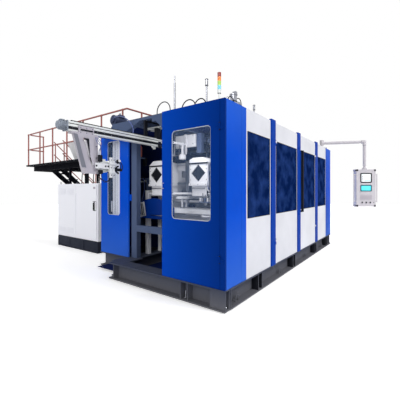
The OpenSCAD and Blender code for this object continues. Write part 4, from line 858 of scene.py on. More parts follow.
class LINE_OT_trim_station(bpy.types.Operator):
    """Trim station: frames and bolts of the nests, cylinders, tubes, table pad, cover slats"""

    bl_idname = "line.trim_station"
    bl_label = "Trim station"

    def execute(self, context):
        x0 = TRIM_X - 240

        def nest(y0):
            centre = (0, y0 + 200, 1907)
            # Painted shade: the black diamond stands for the shade inside the nest's diamond
            # opening
            diamond = np.array([(140, 0), (0, 140), (-140, 0), (0, -140)]) * 0.985
            parts = [plate(diamond, 8, (x0 + 6, centre[1], centre[2]), FRONT, UP).painted(1)]
            frame_path = np.array([(x0 - 2, centre[1] + a, centre[2] + b)
                                   for a, b in ((146, 0), (0, 146), (-146, 0), (0, -146))])
            parts += [carried(rounded(9, 6, 2, 3), frame_path, NEAR, True).painted(1),
                      block(x0 - 14, x0 + 1, y0 - 6, y0 + 406, 2066, 2092, 3).painted(1),
                      hex_bolts(spread(x0, y0 + np.array([26, 374]), (1720, 1790, 1980, 2040)),
                                NEAR, 9, 2),
                      hex_bolts(spread(x0 - 14, y0 + np.array([30, 200, 370]), 1704), NEAR, 8, 2),
                      block(x0 + 30, x0 + 62, y0 + 30, y0 + 370, 1505, 1684, 4).painted(1),
                      bar((x0 - 2, y0 + 60, 1640), (x0 - 2, y0 + 340, 1640), 16).painted(2)]
            return parts

        rods = [bar((1000 + k, 620, 1800), (1000 + k, 882, 1800), 28) for k in (0, 130)]
        tag = ["machine_white", "black_steel", "bright_steel"]
        front = nest(880.0) + [r.painted(2) for r in rods]
        piece("front_nest_fittings", front, tag, "front_nest")
        piece("rear_nest_fittings", nest(1920.0) + [mirror_y(r).painted(2) for r in rods], tag,
              "rear_nest")

        def cylinders():
            parts = []
            for k in (0, 130):
                at = (1000 + k, 300, 1800)
                parts.append(turned([(33, 0), (38, 4), (38, 40), (33, 44), (33, 350), (38, 354),
                                     (38, 396), (33, 400)], at, REAR, 24))
                parts += [bar((1000 + k + a, 306, 1800 + b), (1000 + k + a, 694, 1800 + b),
                              8).painted(2) for a in (-30, 30) for b in (-30, 30)]
            parts += [block(940, 1190, 700, 724, 1600, 1860, 6).painted(1),
                      block(940, 1190, 724, 796, 1600, 1618, 4).painted(1),
                      hex_bolts(spread((958, 1172), 700, (1630, 1830)), FRONT, 10, 2)]
            for k, a in ((0, 60), (130, -40)):
                add(parts, 3, hose([(1000 + k, 330, 1838), (1000 + k, 328, 1900),
                                    (980 + k + a, 300, 2050), (960 + a, 240, 2240),
                                    (940, 210, 2440), (940, 205, 2560)], 10, (0, 1, 0.2), 44, 10))
            return parts

        both = cylinders()
        piece("nest_cylinders", both + [mirror_y(s) for s in both[:-2]],
              ["profile_aluminium", "frame_paint", "bright_steel", "hose_blue"])

        pad = [turned([(150, 0), (152, 2), (152, 5), (146, 7)], (TRIM_X, HEAD_Y, 1482), n=44)]
        turns = np.arange(0, 6.2, 1.05)
        pad.append(hex_bolts(ring_at((TRIM_X, HEAD_Y, 1482), 120, turns), UP, 8, 1))
        legs = [block(x - 34, x + 34, 1566, 1634, 1260, 1276, 4).painted(1)
                for x in (TRIM_X - 60, TRIM_X + 60)]
        piece("trim_table_fittings", pad + legs, ["machine_white", "bright_steel"])

        slats = [plate(rounded(190, 290, 14), 5, (798, 2470, 1215), (0, -1, 0.2), (0, 0.2, 1))]
        slats += [plate(rounded(20, 240, 6, 3), 3, (793, 2516 - 46 * k, 1215), (0, -1, 0.2),
                        (0, 0.2, 1), 1).painted(1) for k in range(3)]
        slats += [hex_bolts(spread(800, (1700, 2620), (1080, 1200)), NEAR, 9, 2),
                  hose([(796, 1700, 1110), (780, 1760, 1112), (776, 1960, 1112), (780, 2160, 1112),
                        (796, 2220, 1110)], 14, UP, 30, 10).painted(2)]
        piece("drive_cover_fittings", slats, ["machine_white", "black_steel", "bright_steel"])
        return {"FINISHED"}


class LINE_OT_interior(bpy.types.Operator):
    """Dark painted shade behind the equipment, neck holder, valves, hoses, window frames, pipes"""

    bl_idname = "line.interior"
    bl_label = "Interior"

    def execute(self, context):
        # Painted shade: dark navy sheets inside the walls, under the roof and on the near bay's
        # floor
        walls = [block(606, 5862, 3248, 3256, 310, 2694, 2),
                 block(5852, 5860, 130, 3240, 310, 2694, 2),
                 block(1424, 1431, 2380, 3240, 310, 2694, 2),
                 block(160, 5860, 210, 1290, 2690, 2696, 2),
                 block(160, 5860, 1905, 3240, 2690, 2696, 2)]
        walls.append(block(250, 1410, 300, 3200, 46, 52, 2))
        rib = [(-14, 0), (-8, 10), (8, 10), (14, 0)]
        walls += [carried(np.array(rib), [(x, 3248.0, 320), (x, 3248.0, 2680)], FRONT)
                  for x in np.arange(760.0, 5800, 220)]
        piece("painted_shade_lining", walls, ["painted_shade_lining"])

        z = MOULD_Z + 390
        hold = [turned([(30, 0), (64, 6), (70, 30), (70, 84), (52, 104), (26, 112), (22, 330)],
                       (1040, HEAD_Y, z + 40)),
                block(740, 1150, 1580, 1620, 2466, 2506, 4),
                block(1120, 1150, 1570, 1630, 2300, 2690, 5),
                block(1150, 1262, 1236, 1344, 2310, 2690, 6).painted(1)]
        hold.append(hex_bolts(spread((760, 1130), 1580, 2486), FRONT, 12, 2))
        hold += [block(1150, 1205, 1372, 1900, 2440, 2686, 10),
                 block(1147, 1151, 1640, 1646, 2446, 2680, 1).painted(2)]
        hold.append(hex_bolts(spread(1150, (1430, 1870), (2500, 2664)), NEAR, 10, 2))
        hold += [bar(p, (p[0], p[1], 2470), 12).painted(2)
                 for p in ring_at((1040, HEAD_Y, z + 60), 62, (0.5, 2.6, 4.7))]
        piece("neck_holder", hold, ["machine_white", "steel_blue", "bright_steel"])

        accumulator = [(12, 0), (26, 6), (30, 16), (30, 200), (24, 218), (10, 226), (10, 250)]
        group = [turned(accumulator, (883, 2610, 2300), n=20).painted(3),
                 block(780, 1010, 2590, 2650, 2268, 2292, 3).painted(1),
                 block(990, 1040, 2580, 2660, 2120, 2292, 6).painted(4),
                 block(820, 1010, 2600, 2660, 1800, 1890, 6).painted(4),
                 block(640, 700, 3180, 3246, 320, 2680, 4).painted(1)]
        for k in range(5):
            x = 838.0 + 38 * k
            group += [turned([(10, 0), (12, 2), (12, 14), (8, 18), (8, 40), (11, 42), (11, 50)],
                             (x, 2600, 1846), FRONT, 10).painted(2),
                      hose([(x, 2556, 1846), (x + 4, 2520, 1838), (x + 16, 2500, 1760 - 30 * k),
                            (x + 30 - 10 * k, 2520, 1560), (840 + 22 * k, 2560, 1330),
                            (850 + 20 * k, 2600, 1100)], 11, FAR).painted(5 if k % 2 else 4)]
        add(group, 1, block(790, 1000, 2560, 2700, 860, 1110, 8))
        for k in range(7):
            add(group, 4, block(800 + 28 * k, 814 + 28 * k, 2552, 2560, 880, 1090, 2))
        piece("valve_group", group, ["machine_white", "steel_blue", "bright_steel", "rail_red",
                                     "black_steel", "hose_blue"])

        front = [block(880, 1330, 500, 640, 880, 1080, 10),
                 block(920, 1060, 480, 500, 920, 1040, 4).painted(1),
                 block(700, 860, 640, 760, 700, 900, 8).painted(1),
                 block(1180, 1300, 470, 500, 900, 1060, 4).painted(2)]
        ring = np.linspace(0, 2 * np.pi, 48, endpoint=False)
        hoop = np.stack([1040 + 230 * np.cos(ring), 900 + 130 * np.sin(ring), 1150 + 0 * ring], -1)
        front.append(carried(rounded(54, 34, 14, 4), hoop, UP, True))
        for k in range(6):
            x = 900.0 + 66 * k
            front += [hose([(x, 560, 1078), (x + 8, 556, 1190), (x - 30 + 14 * k, 600, 1330),
                            (960 + 24 * k, 690, 1380), (980 + 22 * k, 726, 1420)], 13 + 3 * (k % 2),
                           FAR, 36).painted((3, 4, 0)[k % 3]),
                      turned([(12, 0), (13, 2), (13, 16), (10, 22)], (x, 560, 1079),
                             n=8).painted(2)]
        for x, y, top in ((640, 560, 2100), (700, 600, 2300), (1340, 640, 2300)):
            front += [bar((x, y, 700), (x, y, top), 34).painted(2),
                      block(x - 40, x + 40, y - 30, y + 30, top - 90, top - 30, 6).painted(1)]
        front += [block(540, 1360, 590, 630, 680, 720, 4).painted(1),
                  bar((640, 560, 1980), (1340, 640, 2180), 24)]
        for k in range(4):
            bend = [(640 + 30 * k, 580, 2150), (700 + 20 * k, 560, 2330), (860 + 30 * k, 640, 2420),
                    (1020 + 40 * k, 760, 2380), (1100 + 40 * k, 860, 2240),
                    (1150 + 30 * k, 930, 2188)]
            add(front, (3, 4, 3, 0)[k], hose(bend, 12 + 4 * (k % 2), UP, 44))
        for k in range(7):
            a, b = 1352 - 9 * k, 700 + 52 * k
            front += [hose([(900 + 30 * k, 720, 2360 - 20 * k), (870 + 20 * k, 790, 2180),
                            (840, 830 + 8 * k, 1960 - 60 * k), (820 + 12 * k, 800, 1560),
                            (860 + 40 * k, 700, a)], 9 + 4 * (k % 3),
                           FAR).painted((4, 3, 0)[k % 3]),
                      block(836, 872, b, b + 26, 1404, 1470, 4).painted(k % 3),
                      bar((850, b + 13, 1470), (850, b + 13, 1500 + 26 * (k % 3)), 14).painted(2)]
        add(front, 1, block(828, 880, 690, 1050, 1386, 1404, 4))
        piece("near_equipment", front, ["machine_white", "steel_blue", "bright_steel", "hose_blue",
                                        "hose_rubber"])

        jamb = []
        for y0, y1, z0, z1, x in ((227, 930, 1180, 2480, 12), (2750, 3160, 1100, 2606, 472)):
            ring = rounded(y1 - y0 + 4, z1 - z0 + 4, 62, 9)
            path = np.stack([0 * ring[:, 0] + x, ring[:, 0] + (y0 + y1) / 2,
                             ring[:, 1] + (z0 + z1) / 2], -1)
            jamb.append(carried(rounded(22, 8, 2, 3), path, NEAR, True))
        piece("end_window_frame", jamb[:1], ["profile_aluminium"], "near_end_door")
        piece("column_window_frame", jamb[1:], ["profile_aluminium"])
        pipes = [block(500, 520, 3170, 3240, 1100, 2620, 4).painted(2),
                 block(512, 518, 2736, 3046, 1090, 2616, 2).painted(1),
                 block(508, 513, 2900, 2906, 1100, 2606, 1),
                 block(508, 513, 2960, 2980, 1100, 2606, 1)]
        for y, d, z0, z1 in ((3076, 24, 1120, 2300), (3112, 16, 1100, 2560),
                             (3146, 30, 1150, 2000)):
            pipes += [bar((560, y, z0), (560, y, z1), d).painted(1 if d > 20 else 0),
                      block(540, 600, y - 14, y + 14, z1 - 40, z1 + 20, 4)]
        for k in range(4):
            add(pipes, 2, hose([(530, 3062 + 20 * k, 2240 - 60 * k), (520, 3082 + 12 * k, 1960),
                                (520, 3058 + 18 * k, 1640), (530, 3080 + 14 * k, 1380)], 12, FAR))
        piece("column_pipes", pipes, ["bright_steel", "guard_white", "hose_rubber"])
        return {"FINISHED"}


class LINE_OT_panel_front(bpy.types.Operator):
    """Control panel: bumpers, bezels, displays, keypad, rings of the buttons, arm collars"""

    bl_idname = "line.panel_front"
    bl_label = "Control panel"

    def execute(self, context):
        c, s = math.cos(PANEL_TURN), math.sin(PANEL_TURN)
        spin = np.array([[c, s, 0], [-s, c, 0], [0, 0, 1]])
        out = np.array([math.cos(ARM_TURN), math.sin(ARM_TURN), 0])
        end = ARM_FOOT + ARM_REACH * out

        def there(shell):
            return Shell(shell.points @ spin + end, shell.loops, shell.sizes, shell.paint)

        cap = [(20, 0), (28, 7), (31, 18), (31, 46), (28, 54), (20, 60)]
        dark = [turned(cap, (x, -86, z), REAR, 20) for x in (-240, 240) for z in (1183, 2147)]

        def bezel(z, h, deep):
            ring = rounded(282, h - 26, 10, 4)
            path = np.stack([ring[:, 0], 0 * ring[:, 0] - 76, ring[:, 1] + z], -1)
            return carried(rounded(26, deep, 4, 3), path, FRONT, True)

        dark += [bezel(1940.5, 262, 22), block(-140, 140, -84, -76, 1806, 1832, 3)]
        parts = [there(s) for s in dark]
        add(parts, 1, there(bezel(1661, 178, 18)))
        parts += [there(block(-157, 157, -79, -75, z0, z1, 2)).painted(6)
                  for z0, z1 in ((1494, 1577), (1750, 1812))]
        keys = spread(-138 + 34.5 * np.arange(9), -78.5, (1362, 1392, 1422, 1452))
        key = block(-12, 12, -3, 3, -9, 9, 2)
        parts += [there(copies(key, keys)).painted(2),
                  there(block(-165, 165, -77.5, -75, 1340, 1474, 1)).painted(3)]
        halo = turned([(17.6, 8.4), (25, 8.4), (26, 10), (26, 12), (17.6, 12)], (0, -75, 0), FRONT,
                      24)
        add(parts, 4, there(copies(halo, [(x, 4.3, 1275) for x in (-110, 0, 110)])))
        tags = spread((-110, 0, 110), -76.5, 1236)
        add(parts, 2, there(copies(block(-24, 24, -1.5, 1.5, -8, 8, 1), tags)))
        lock = turned([(10, 0), (12, 2), (12, 8), (8, 10), (3, 10), (3, 6)], (205, -75, 1275),
                      FRONT, 18)
        add(parts, 4, there(lock))
        seam = np.array([(-246, 1190), (246, 1190), (246, 2140), (-246, 2140)])
        path = np.stack([seam[:, 0], 0 * seam[:, 0] - 75.2, seam[:, 1]], -1)
        add(parts, 5, there(carried(rounded(6, 3, 1, 2), path, FRONT, True)))
        back = [block(-200, 200, 75, 80, 1240, 2080, 2)]
        back += [block(-150, 150, 79, 84, z, z + 10, 1) for z in np.arange(1300.0, 1480, 26)]
        back.append(hex_bolts(spread((-185, 185), 80, (1260, 1660, 2060)), REAR, 8))
        collar = [(55, 0), (62, 4), (62, 26), (34, 60), (30, 64), (30, 96), (26, 100)]
        back += [turned(collar, (0, 0, 2171)),
                 turned([(28, 0), (40, 2), (40, 552), (28, 554)], (0, 0, 2266))]
        parts += [there(s).painted(5) for s in back]
        add(parts, 7, there(block(-262, -250, -60, 60, 1212, 2118, 5)))
        piece("panel_face", parts, ["black_steel", "bezel_teal", "key_grey", "key_bed",
                                    "bright_steel", "cabinet_paint", "cabinet_paint",
                                    "machine_white"], "operator_panel")
        glow = [there(plate(rounded(286, 250, 4, 3), 2.4, (0, -74.2, 1940), FAR, UP, 0.5)),
                there(plate(rounded(286, 164, 4, 3), 2.4, (0, -74.2, 1661), FAR, UP,
                            0.5)).painted(1)]
        for k in range(3):
            add(glow, 2, there(block(-112, -80, -77.4, -76.4, 1868 + 50 * k, 1900 + 50 * k, 0.3)))
        add(glow, 1, there(block(-40, 112, -77.4, -76.4, 1868, 1884, 0.3)))
        piece("displays", glow, ["display_white", "display_cyan", "key_grey"], "operator_panel")

        knee, root = end + [0, 0, ARM_Z], ARM_FOOT + [0, 0, ARM_Z]
        arm = [turned([(40, -70), (46, -62), (46, 40), (40, 48)], knee - out * 20, out, 26),
               turned([(40, 0), (46, 6), (46, 58), (40, 66)], knee - [0, 0, 104], n=26),
               turned([(36, 0), (44, 4), (44, 30), (36, 34)], root + out * 40, out, 26)]
        arm += [turned([(28, 0), (40, 2), (40, 880), (28, 882)], root + out * 90, out),
                turned([(56, 0), (60, 3), (60, 10), (40, 16)], ARM_FOOT + [0, 0, 3000])]
        piece("arm_collars", arm, ["cabinet_paint"], "panel_arm")
        flange = [(92, 0.3), (96, 3), (96, 14), (60, 20), (58, 40)]
        bolts = ring_at(ARM_FOOT + [0, 0, 2818], 78, np.arange(0.4, 6.3, 1.047))
        piece("arm_base", [turned(flange, ARM_FOOT + [0, 0, ROOF_Z], n=32),
                           hex_bolts(bolts, UP, 10, 1)], ["machine_white", "bright_steel"])
        return {"FINISHED"}


class LINE_OT_cabinet(bpy.types.Operator):
    """Cabinet: charcoal base beams, door rim and seams, louvres, lifting eyes, hoses"""

    bl_idname = "line.cabinet"
    bl_label = "Electric cabinet"

    def execute(self, context):
        base = [block(1052, 1070, 4402, 6398, 262, 299, 3),
                block(1046, 1072, 4402, 6398, 0.5, 24, 3),
                block(1056, 1070, 4404, 6396, 24, 262, 1), block(1064, 1660, 4396, 4404, 1, 299, 2),
                block(1064, 1660, 6396, 6404, 1, 299, 2), block(1652, 1664, 4404, 6396, 1, 299, 2)]
        base += [block(1047, 1060, y, y + 14, 24, 262, 2) for y in (4404, 5030, 5064, 5740, 6382)]
        piece("cabinet_base", base, ["charcoal"])

        eye = lifting_eye(24, 11, 40, [(18, 0), (18, 6), (10, 18)])
        top = [copies(eye, spread((1110, 1610), (4450, 6350), CABINET_TOP))]
        low, high = np.arange(420, 560, 24.0), np.arange(1450, 1660, 24.0)
        for right, places in ((FRONT, (1043, (5700, 6120), np.arange(1480, 1660, 24.0))),
                              (FRONT, (1043, (5700, 6120), low)), (FAR, (1360, 4400, high)),
                              (FAR, (1360, 4400, low)), (REAR, (1660, (4700, 5400, 6100), high))):
            add(top, 1, copies(louvre(150, 8, 12, 8, right), spread(*places)))
        for y in (4800.0, 5100.0, 5400.0, 5700.0, 6000.0):
            add(top, 2, turned([(24, 0), (24, 14), (20, 18), (20, 34), (15, 38)],
                               (1560, y, CABINET_TOP), n=12),
                hose([(1560, y, CABINET_TOP + 30), (1562, y, CABINET_TOP + 130),
                      (1590, y + 10, 2150), (1640, y + 6, 2260), (1668, y, 2283)], 24, REAR, 30,
                     10))
        piece("cabinet_fittings", top, ["bright_steel", "cabinet_paint", "hose_rubber"])

        parts = [carried(rounded(12, 0.5, 0.2, 2),
                         [(1039, 4540 + a, 1200 + h), (1039, 4540 + b, 1200 + k)], NEAR)
                 for a, h, b, k in ((-75, 118, 75, 118), (-75, -118, 75, -118),
                                    (-75, -118, -75, 118))]
        for y in (4452.0, 5386.0):
            add(parts, 2, carried(rounded(7, 0.5, 0.2, 2), [(1039, y, 345), (1039, y, 1735)], NEAR))
        for z in (345.0, 1735.0):
            add(parts, 2, carried(rounded(7, 0.5, 0.2, 2), [(1039, 4452, z), (1039, 5386, z)],
                                  NEAR))
        add(parts, 3, block(1034.5, 1038.6, 4490, 4590, 1636, 1690, 1))
        piece("cabinet_door_fittings", parts,
              ["black_steel", "cabinet_paint", "cabinet_paint", "key_grey"], "cabinet_leaf")
        return {"FINISHED"}


class LINE_OT_walkway(bpy.types.Operator):
    """Walkway: grating bars, edges, sleeves and bolts of the rails, stair nosings, hopper rim"""

    bl_idname = "line.walkway"
    bl_label = "Walkway"

    def execute(self, context):
        grid = []
        for x, half, start, stop in ((1640, 444, 3480, 8900), (2395, 300, 3480, 4330),
                                     (2480, 380, 7100, 7350)):
            slat = block(-half, half, -3, 3, 0, 6, 1)
            grid.append(copies(slat, spread(x, np.arange(start, stop, 42.0), DECK_Z)))
        runner = block(-3, 3, -2700, 2700, 0, 5, 1)
        grid.insert(1, copies(runner, spread((1300, 1640, 1980), 6190, DECK_Z)))
        piece("grating", grid, ["platform_paint"])
        edge = []
        for x0, x1, y0, y1 in ((1190, 1196, 3450, 8930), (1190, 2090, 3450, 3456),
                               (2084, 2090, 4352, 7078)):
            edge.append(block(x0, x1, y0, y1, 2474, 2486, 1))
        posts = [(1240, 3660 + 868 * n, 2485) for n in range(7)]
        around = np.array([(math.cos(a), math.sin(a), 0)
                           for a in (0.785, 2.356, 3.927, 5.498)]) * 36
        for p in posts:
            edge += [hex_bolts(np.array(p) + around, UP, 8, 1),
                     turned([(21.5, 0), (30, 2), (24, 14), (21.5, 18)], (p[0], p[1], 2485),
                            n=20).painted(2)]
        edge.append(hex_bolts(spread(1190, np.arange(3600, 8900, 434.0), 2455), NEAR, 10, 1))
        for z in (3025.0, 3554.0):
            for p in posts:
                add(edge, 2, turned([(21.4, -28), (24, -24), (24, 24), (21.4, 28)], (1240, p[1], z),
                                    REAR, 18))
        piece("walkway_edges", edge, ["platform_paint", "bright_steel", "rail_red"])
        t = np.arange(1, 11) / 11
        steps = np.stack([2090 + 2700 * t - 60, 0 * t + 8600, DECK_Z * (1 - t)], -1)
        nose = joined([block(-4, 24, -318, 318, -6, 5, 2),
                       *[block(-2, 218, y - 3, y + 3, 0, 4, 1)
                         for y in np.arange(-300.0, 301, 60)]])
        slope = np.array([2700.0, 0, -2355])
        rails = [carried(circle(36.5, 14), [start, start + slope], REAR).painted(1)
                 for start in spread(2150, (8275, 8923), (2955, 3435))]
        for share in (0.02, 0.5, 0.96):
            foot = np.array([2150 + 2700 * share, 0, DECK_Z - 2355 * share])
            rails += [bar(foot + [0, y, 6], foot + [0, y, 956], 36.5).painted(1)
                      for y in (8275, 8923)]
        piece("stair_nosings", [copies(nose, steps), *rails], ["platform_paint", "rail_red"])
        rim = np.array([(-1, -1, 0), (1, -1, 0), (1, 1, 0), (-1, 1, 0)]) * 352 + [2450, 7500, 3300]
        sides = [np.linspace(a, b, 12)[1:-1] for a, b in zip(rim, np.roll(rim, -1, 0))]
        hopper = [carried(circle(16, 10), np.concatenate(sides), UP, True)]
        hopper += [hex_bolts(spread((2316, 2584), (7366, 7634), 2515), UP, 10, 1),
                   block(2130, 2230, 7440, 7560, 2476, 2640, 8).painted(2),
                   hose([(2228, 7500, 2560), (2280, 7500, 2550), (2312, 7500, 2538)], 44, UP, 12,
                        14).painted(1)]
        piece("hopper_fittings", hopper, ["bin_paint", "bright_steel", "grey_cast"])
        return {"FINISHED"}


class LINE_OT_extruder(bpy.types.Operator):
    """Extruder and die head: clamps, terminal boxes, blowers, conduits, fan cowl, hopper lid"""

    bl_idname = "line.extruder"
    bl_label = "Extruder and die head"

    def execute(self, context):
        z = BARREL_Z
        parts = []
        for n in range(7):
            y = 2050.0 + 300 * n
            for k in (30.0, 125.0, 220.0):
                parts += [turned([(125.5, 0), (127, 1), (127, 13), (125.5, 14)], (HEAD_X, y + k, z),
                                 REAR, 32),
                          block(3126, 3146, y + k - 2, y + k + 16, z - 16, z + 16, 3)]
            parts += [block(2850, 2884, y + 70, y + 180, z + 10, z + 80, 5).painted(1),
                      hose([(2850, y + 125, z + 40), (2790, y + 125, z + 30),
                            (2760, y + 128, z - 60), (2752, y + 130, z - 200),
                            (2750, y + 130, z - 330)], 18, REAR, 24).painted(2),
                      turned([(13, 0), (13, 16), (10, 20)], (2850, y + 125, z + 40), NEAR, 8)]
        fan = [(60, 0), (66, 6), (66, 50), (40, 58), (36, 50), (10, 46)]
        for y in (2480.0, 3080.0, 3680.0):
            parts += [block(3030, 3170, y, y + 90, z - 230, z - 122, 8).painted(1),
                      turned(fan, (3170, y + 45, z - 176), FAR, 26).painted(2)]
        add(parts, 3, block(2716, 2776, 2100, 4300, 2602, 2640, 4))
        around = np.array([(math.cos(a), 0, math.sin(a))
                           for a in np.arange(0.2, 6.2, 0.7854)]) * 130
        parts.append(hex_bolts(around + [HEAD_X, 1978, z], REAR, 18))
        piece("barrel_fittings", parts, ["bright_steel", "grey_cast", "black_steel",
                                         "profile_aluminium"])

        end = [turned([(180, 0), (212, 6), (214, 20), (214, 90), (206, 104), (60, 108), (56, 100)],
                      (HEAD_X, 6130, 3010), REAR, 40),
               block(3180, 3330, 5560, 5780, 2960, 3110, 10).painted(1),
               block(2920, 3080, 4700, 5200, 3320, 3330, 3).painted(1)]
        slots = np.arange(0.3, 6.3, 0.5236)
        for a in slots:
            mid = np.array([HEAD_X + 130 * math.cos(a), 6234, 3010 + 130 * math.sin(a)])
            add(end, 2, plate(rounded(80, 12, 5, 4), 6, mid, (math.cos(a), 0, math.sin(a)),
                              (math.sin(a), 0, -math.cos(a)), 1))
        end += [hex_bolts(spread((2770, 3230), (4660, 5220), 3320), UP, 18, 3),
                hex_bolts(spread((2690, 3310), (4720, 5160), 2680), UP, 20, 3)]
        eye = lifting_eye(26, 13, 38, [(22, 0), (22, 8), (12, 20)], sides=14)
        end += [copies(eye, [(HEAD_X, 4780, 3326), (HEAD_X, 5120, 3326),
                             (HEAD_X, 5760, 3222)]).painted(3),
                turned([(120, 0), (124, 4), (124, 22), (20, 30)], (HEAD_X, 4450, 3531),
                       n=40).painted(3),
                hose([(2940, 4450, 3555), (2944, 4450, 3590), (HEAD_X, 4450, 3606),
                      (3056, 4450, 3590), (3060, 4450, 3555)], 14, REAR, 24, 10).painted(2),
                hex_bolts(ring_at((HEAD_X, 4450, 3531), 255, slots), UP, 9, 3)]
        for k in range(3):
            add(end, 2, hose([(3326, 5600 + 60 * k, 3030), (3380, 5600 + 60 * k, 3020),
                              (3400, 5590 + 60 * k, 2900), (3340, 5560 + 60 * k, 2700),
                              (3306, 5540 + 60 * k, 2590)], 26, REAR, 30, 10))
        piece("drive_fittings", end, ["grey_cast", "grey_cast", "black_steel", "bright_steel"])

        head = []
        for n in range(5):
            h = 2440.0 + 76 * n
            band = turned([(180.5, 0), (182, 1), (182, 11), (180.5, 12)], n=36)
            head += [copies(band, [(HEAD_X, HEAD_Y, h + 4), (HEAD_X, HEAD_Y, h + 40)]),
                     block(2806, 2822, 1582, 1618, h + 2, h + 52, 3),
                     block(2980, 3020, 1408, 1422, h + 10, h + 46, 4).painted(1),
                     hose([(HEAD_X, 1408, h + 28), (HEAD_X, 1370, h + 30), (3060, 1340, h + 60),
                           (3140, 1336, 2720 + 8 * n), (3160 + 10 * n, 1330, 2760)], 11,
                          (0.3, 0.2, 1), 28).painted(2)]
        ring = np.arange(12) * np.pi / 6 + 0.2
        for h, r, turns, size in ((2850, 250, ring, 22), (3260, 190, ring, 16),
                                  (3740, 190, ring[::2], 16)):
            head.append(hex_bolts(ring_at((HEAD_X, HEAD_Y, h), r, turns), UP, size))
        add(head, 3, turned([(95, 0), (99, 3), (99, 16), (95, 19)], (HEAD_X, HEAD_Y, 3790), n=36),
            turned([(82, 0), (88, 2), (88, 12), (82, 14)], (HEAD_X, HEAD_Y, 2336), n=30))
        for y in (1510.0, 1690.0):
            head += [hose([(3085, y * 0.5 + 800, 3900), (3150, y, 3890), (3230, y, 3780),
                           (3240, y + 20, 3500), (3180, y + 30, 3330), (3150, y + 20, 3262)], 22,
                          REAR, 40, 10).painted(2),
                     turned([(18, 0), (18, 20), (13, 24)], (3150, y + 20, 3260), n=6)]
        piece("head_fittings", head, ["bright_steel", "grey_cast", "hose_rubber", "black_steel"])
        return {"FINISHED"}


class LINE_OT_moulds(bpy.types.Operator):
    """Mould stations: bolts, water fittings and their hoses, tie rod nuts, cylinder caps, wipers"""

    bl_idname = "line.moulds"
    bl_label = "Mould stations"

    def execute(self, context):
        for side, x in zip(("left", "right"), STATIONS):
            nuts = hex_bolts(spread((x - 320, x + 320), 700, (1365, 2155)), FRONT, 52)
            cap = [turned([(70, 0), (78, 5), (78, 24), (70, 28)], (x, 395, MOULD_Z), FRONT, 32),
                   bar((x, 367, MOULD_Z), (x, 352, MOULD_Z), 40)]
            cap += [turned([(14, 0), (14, 14), (10, 18), (10, 34)], (x, 470, MOULD_Z + 75 * s),
                           (0, 0, s), 6).painted(1) for s in (-1, 1)]
            rods = [bar((x + a, 390, MOULD_Z + b), (x + a, 540, MOULD_Z + b), 12).painted(1)
                    for a in (-62, 62) for b in (-62, 62)]
            front = [nuts.painted(1), *cap, *rods]
            piece(f"carriage_{side}_fittings", front + [mirror_y(s) for s in front],
                  ["black_steel", "bright_steel"], f"{side}_carriage")
            half = [hex_bolts(spread(x + np.array([-300, 300]), 1320,
                                     MOULD_Z + np.array([-330, 330])), FRONT, 20),
                    block(x - 254, x + 254, 1396, 1404, 2096, 2110, 2)]
            nipple = turned([(11, 0), (13, 2), (13, 10), (8, 14), (8, 24), (10, 26), (10, 32)],
                            axis=NEAR, n=8)
            half.append(copies(nipple, spread(x - 260, 1460, MOULD_Z + 110.0 * np.arange(-2, 3))))
            for h in (MOULD_Z - 220, MOULD_Z):
                add(half, 1, hose([(x - 290, 1460, h), (x - 318, 1460, h + 12),
                                   (x - 326, 1460, h + 55), (x - 318, 1460, h + 98),
                                   (x - 290, 1460, h + 110)], 15, REAR, 24))
            half.append(turned([(34, 0), (38, 3), (38, 16), (31, 18)], (x, 1302, MOULD_Z), REAR))
            pair = ["bright_steel", "hose_blue"]
            piece(f"mould_{side}_front_fittings", half, pair, f"{side}_front_mould")
            piece(f"mould_{side}_rear_fittings", [mirror_y(s) for s in half], pair,
                  f"{side}_rear_mould")
        for side, x in zip(("left", "right"), BLOW_X):
            unit_parts = [hex_bolts(spread(x + np.array([-50, 50]), (1500, 1700), 2480), UP, 16),
                          turned([(24, 0), (30, 3), (30, 24), (24, 27)], (x, HEAD_Y, 2480), n=26),
                          turned([(21, 0), (23, 3), (23, 14), (21, 17)], (x, HEAD_Y, 2216),
                                 n=20).painted(1)]
            unit_parts.append(block(x - 36, x + 36, 1470, 1481, 2432, 2470, 3))
            piece(f"blow_{side}_fittings", unit_parts, ["bright_steel", "black_steel"],
                  f"{side}_blow_unit")
        return {"FINISHED"}


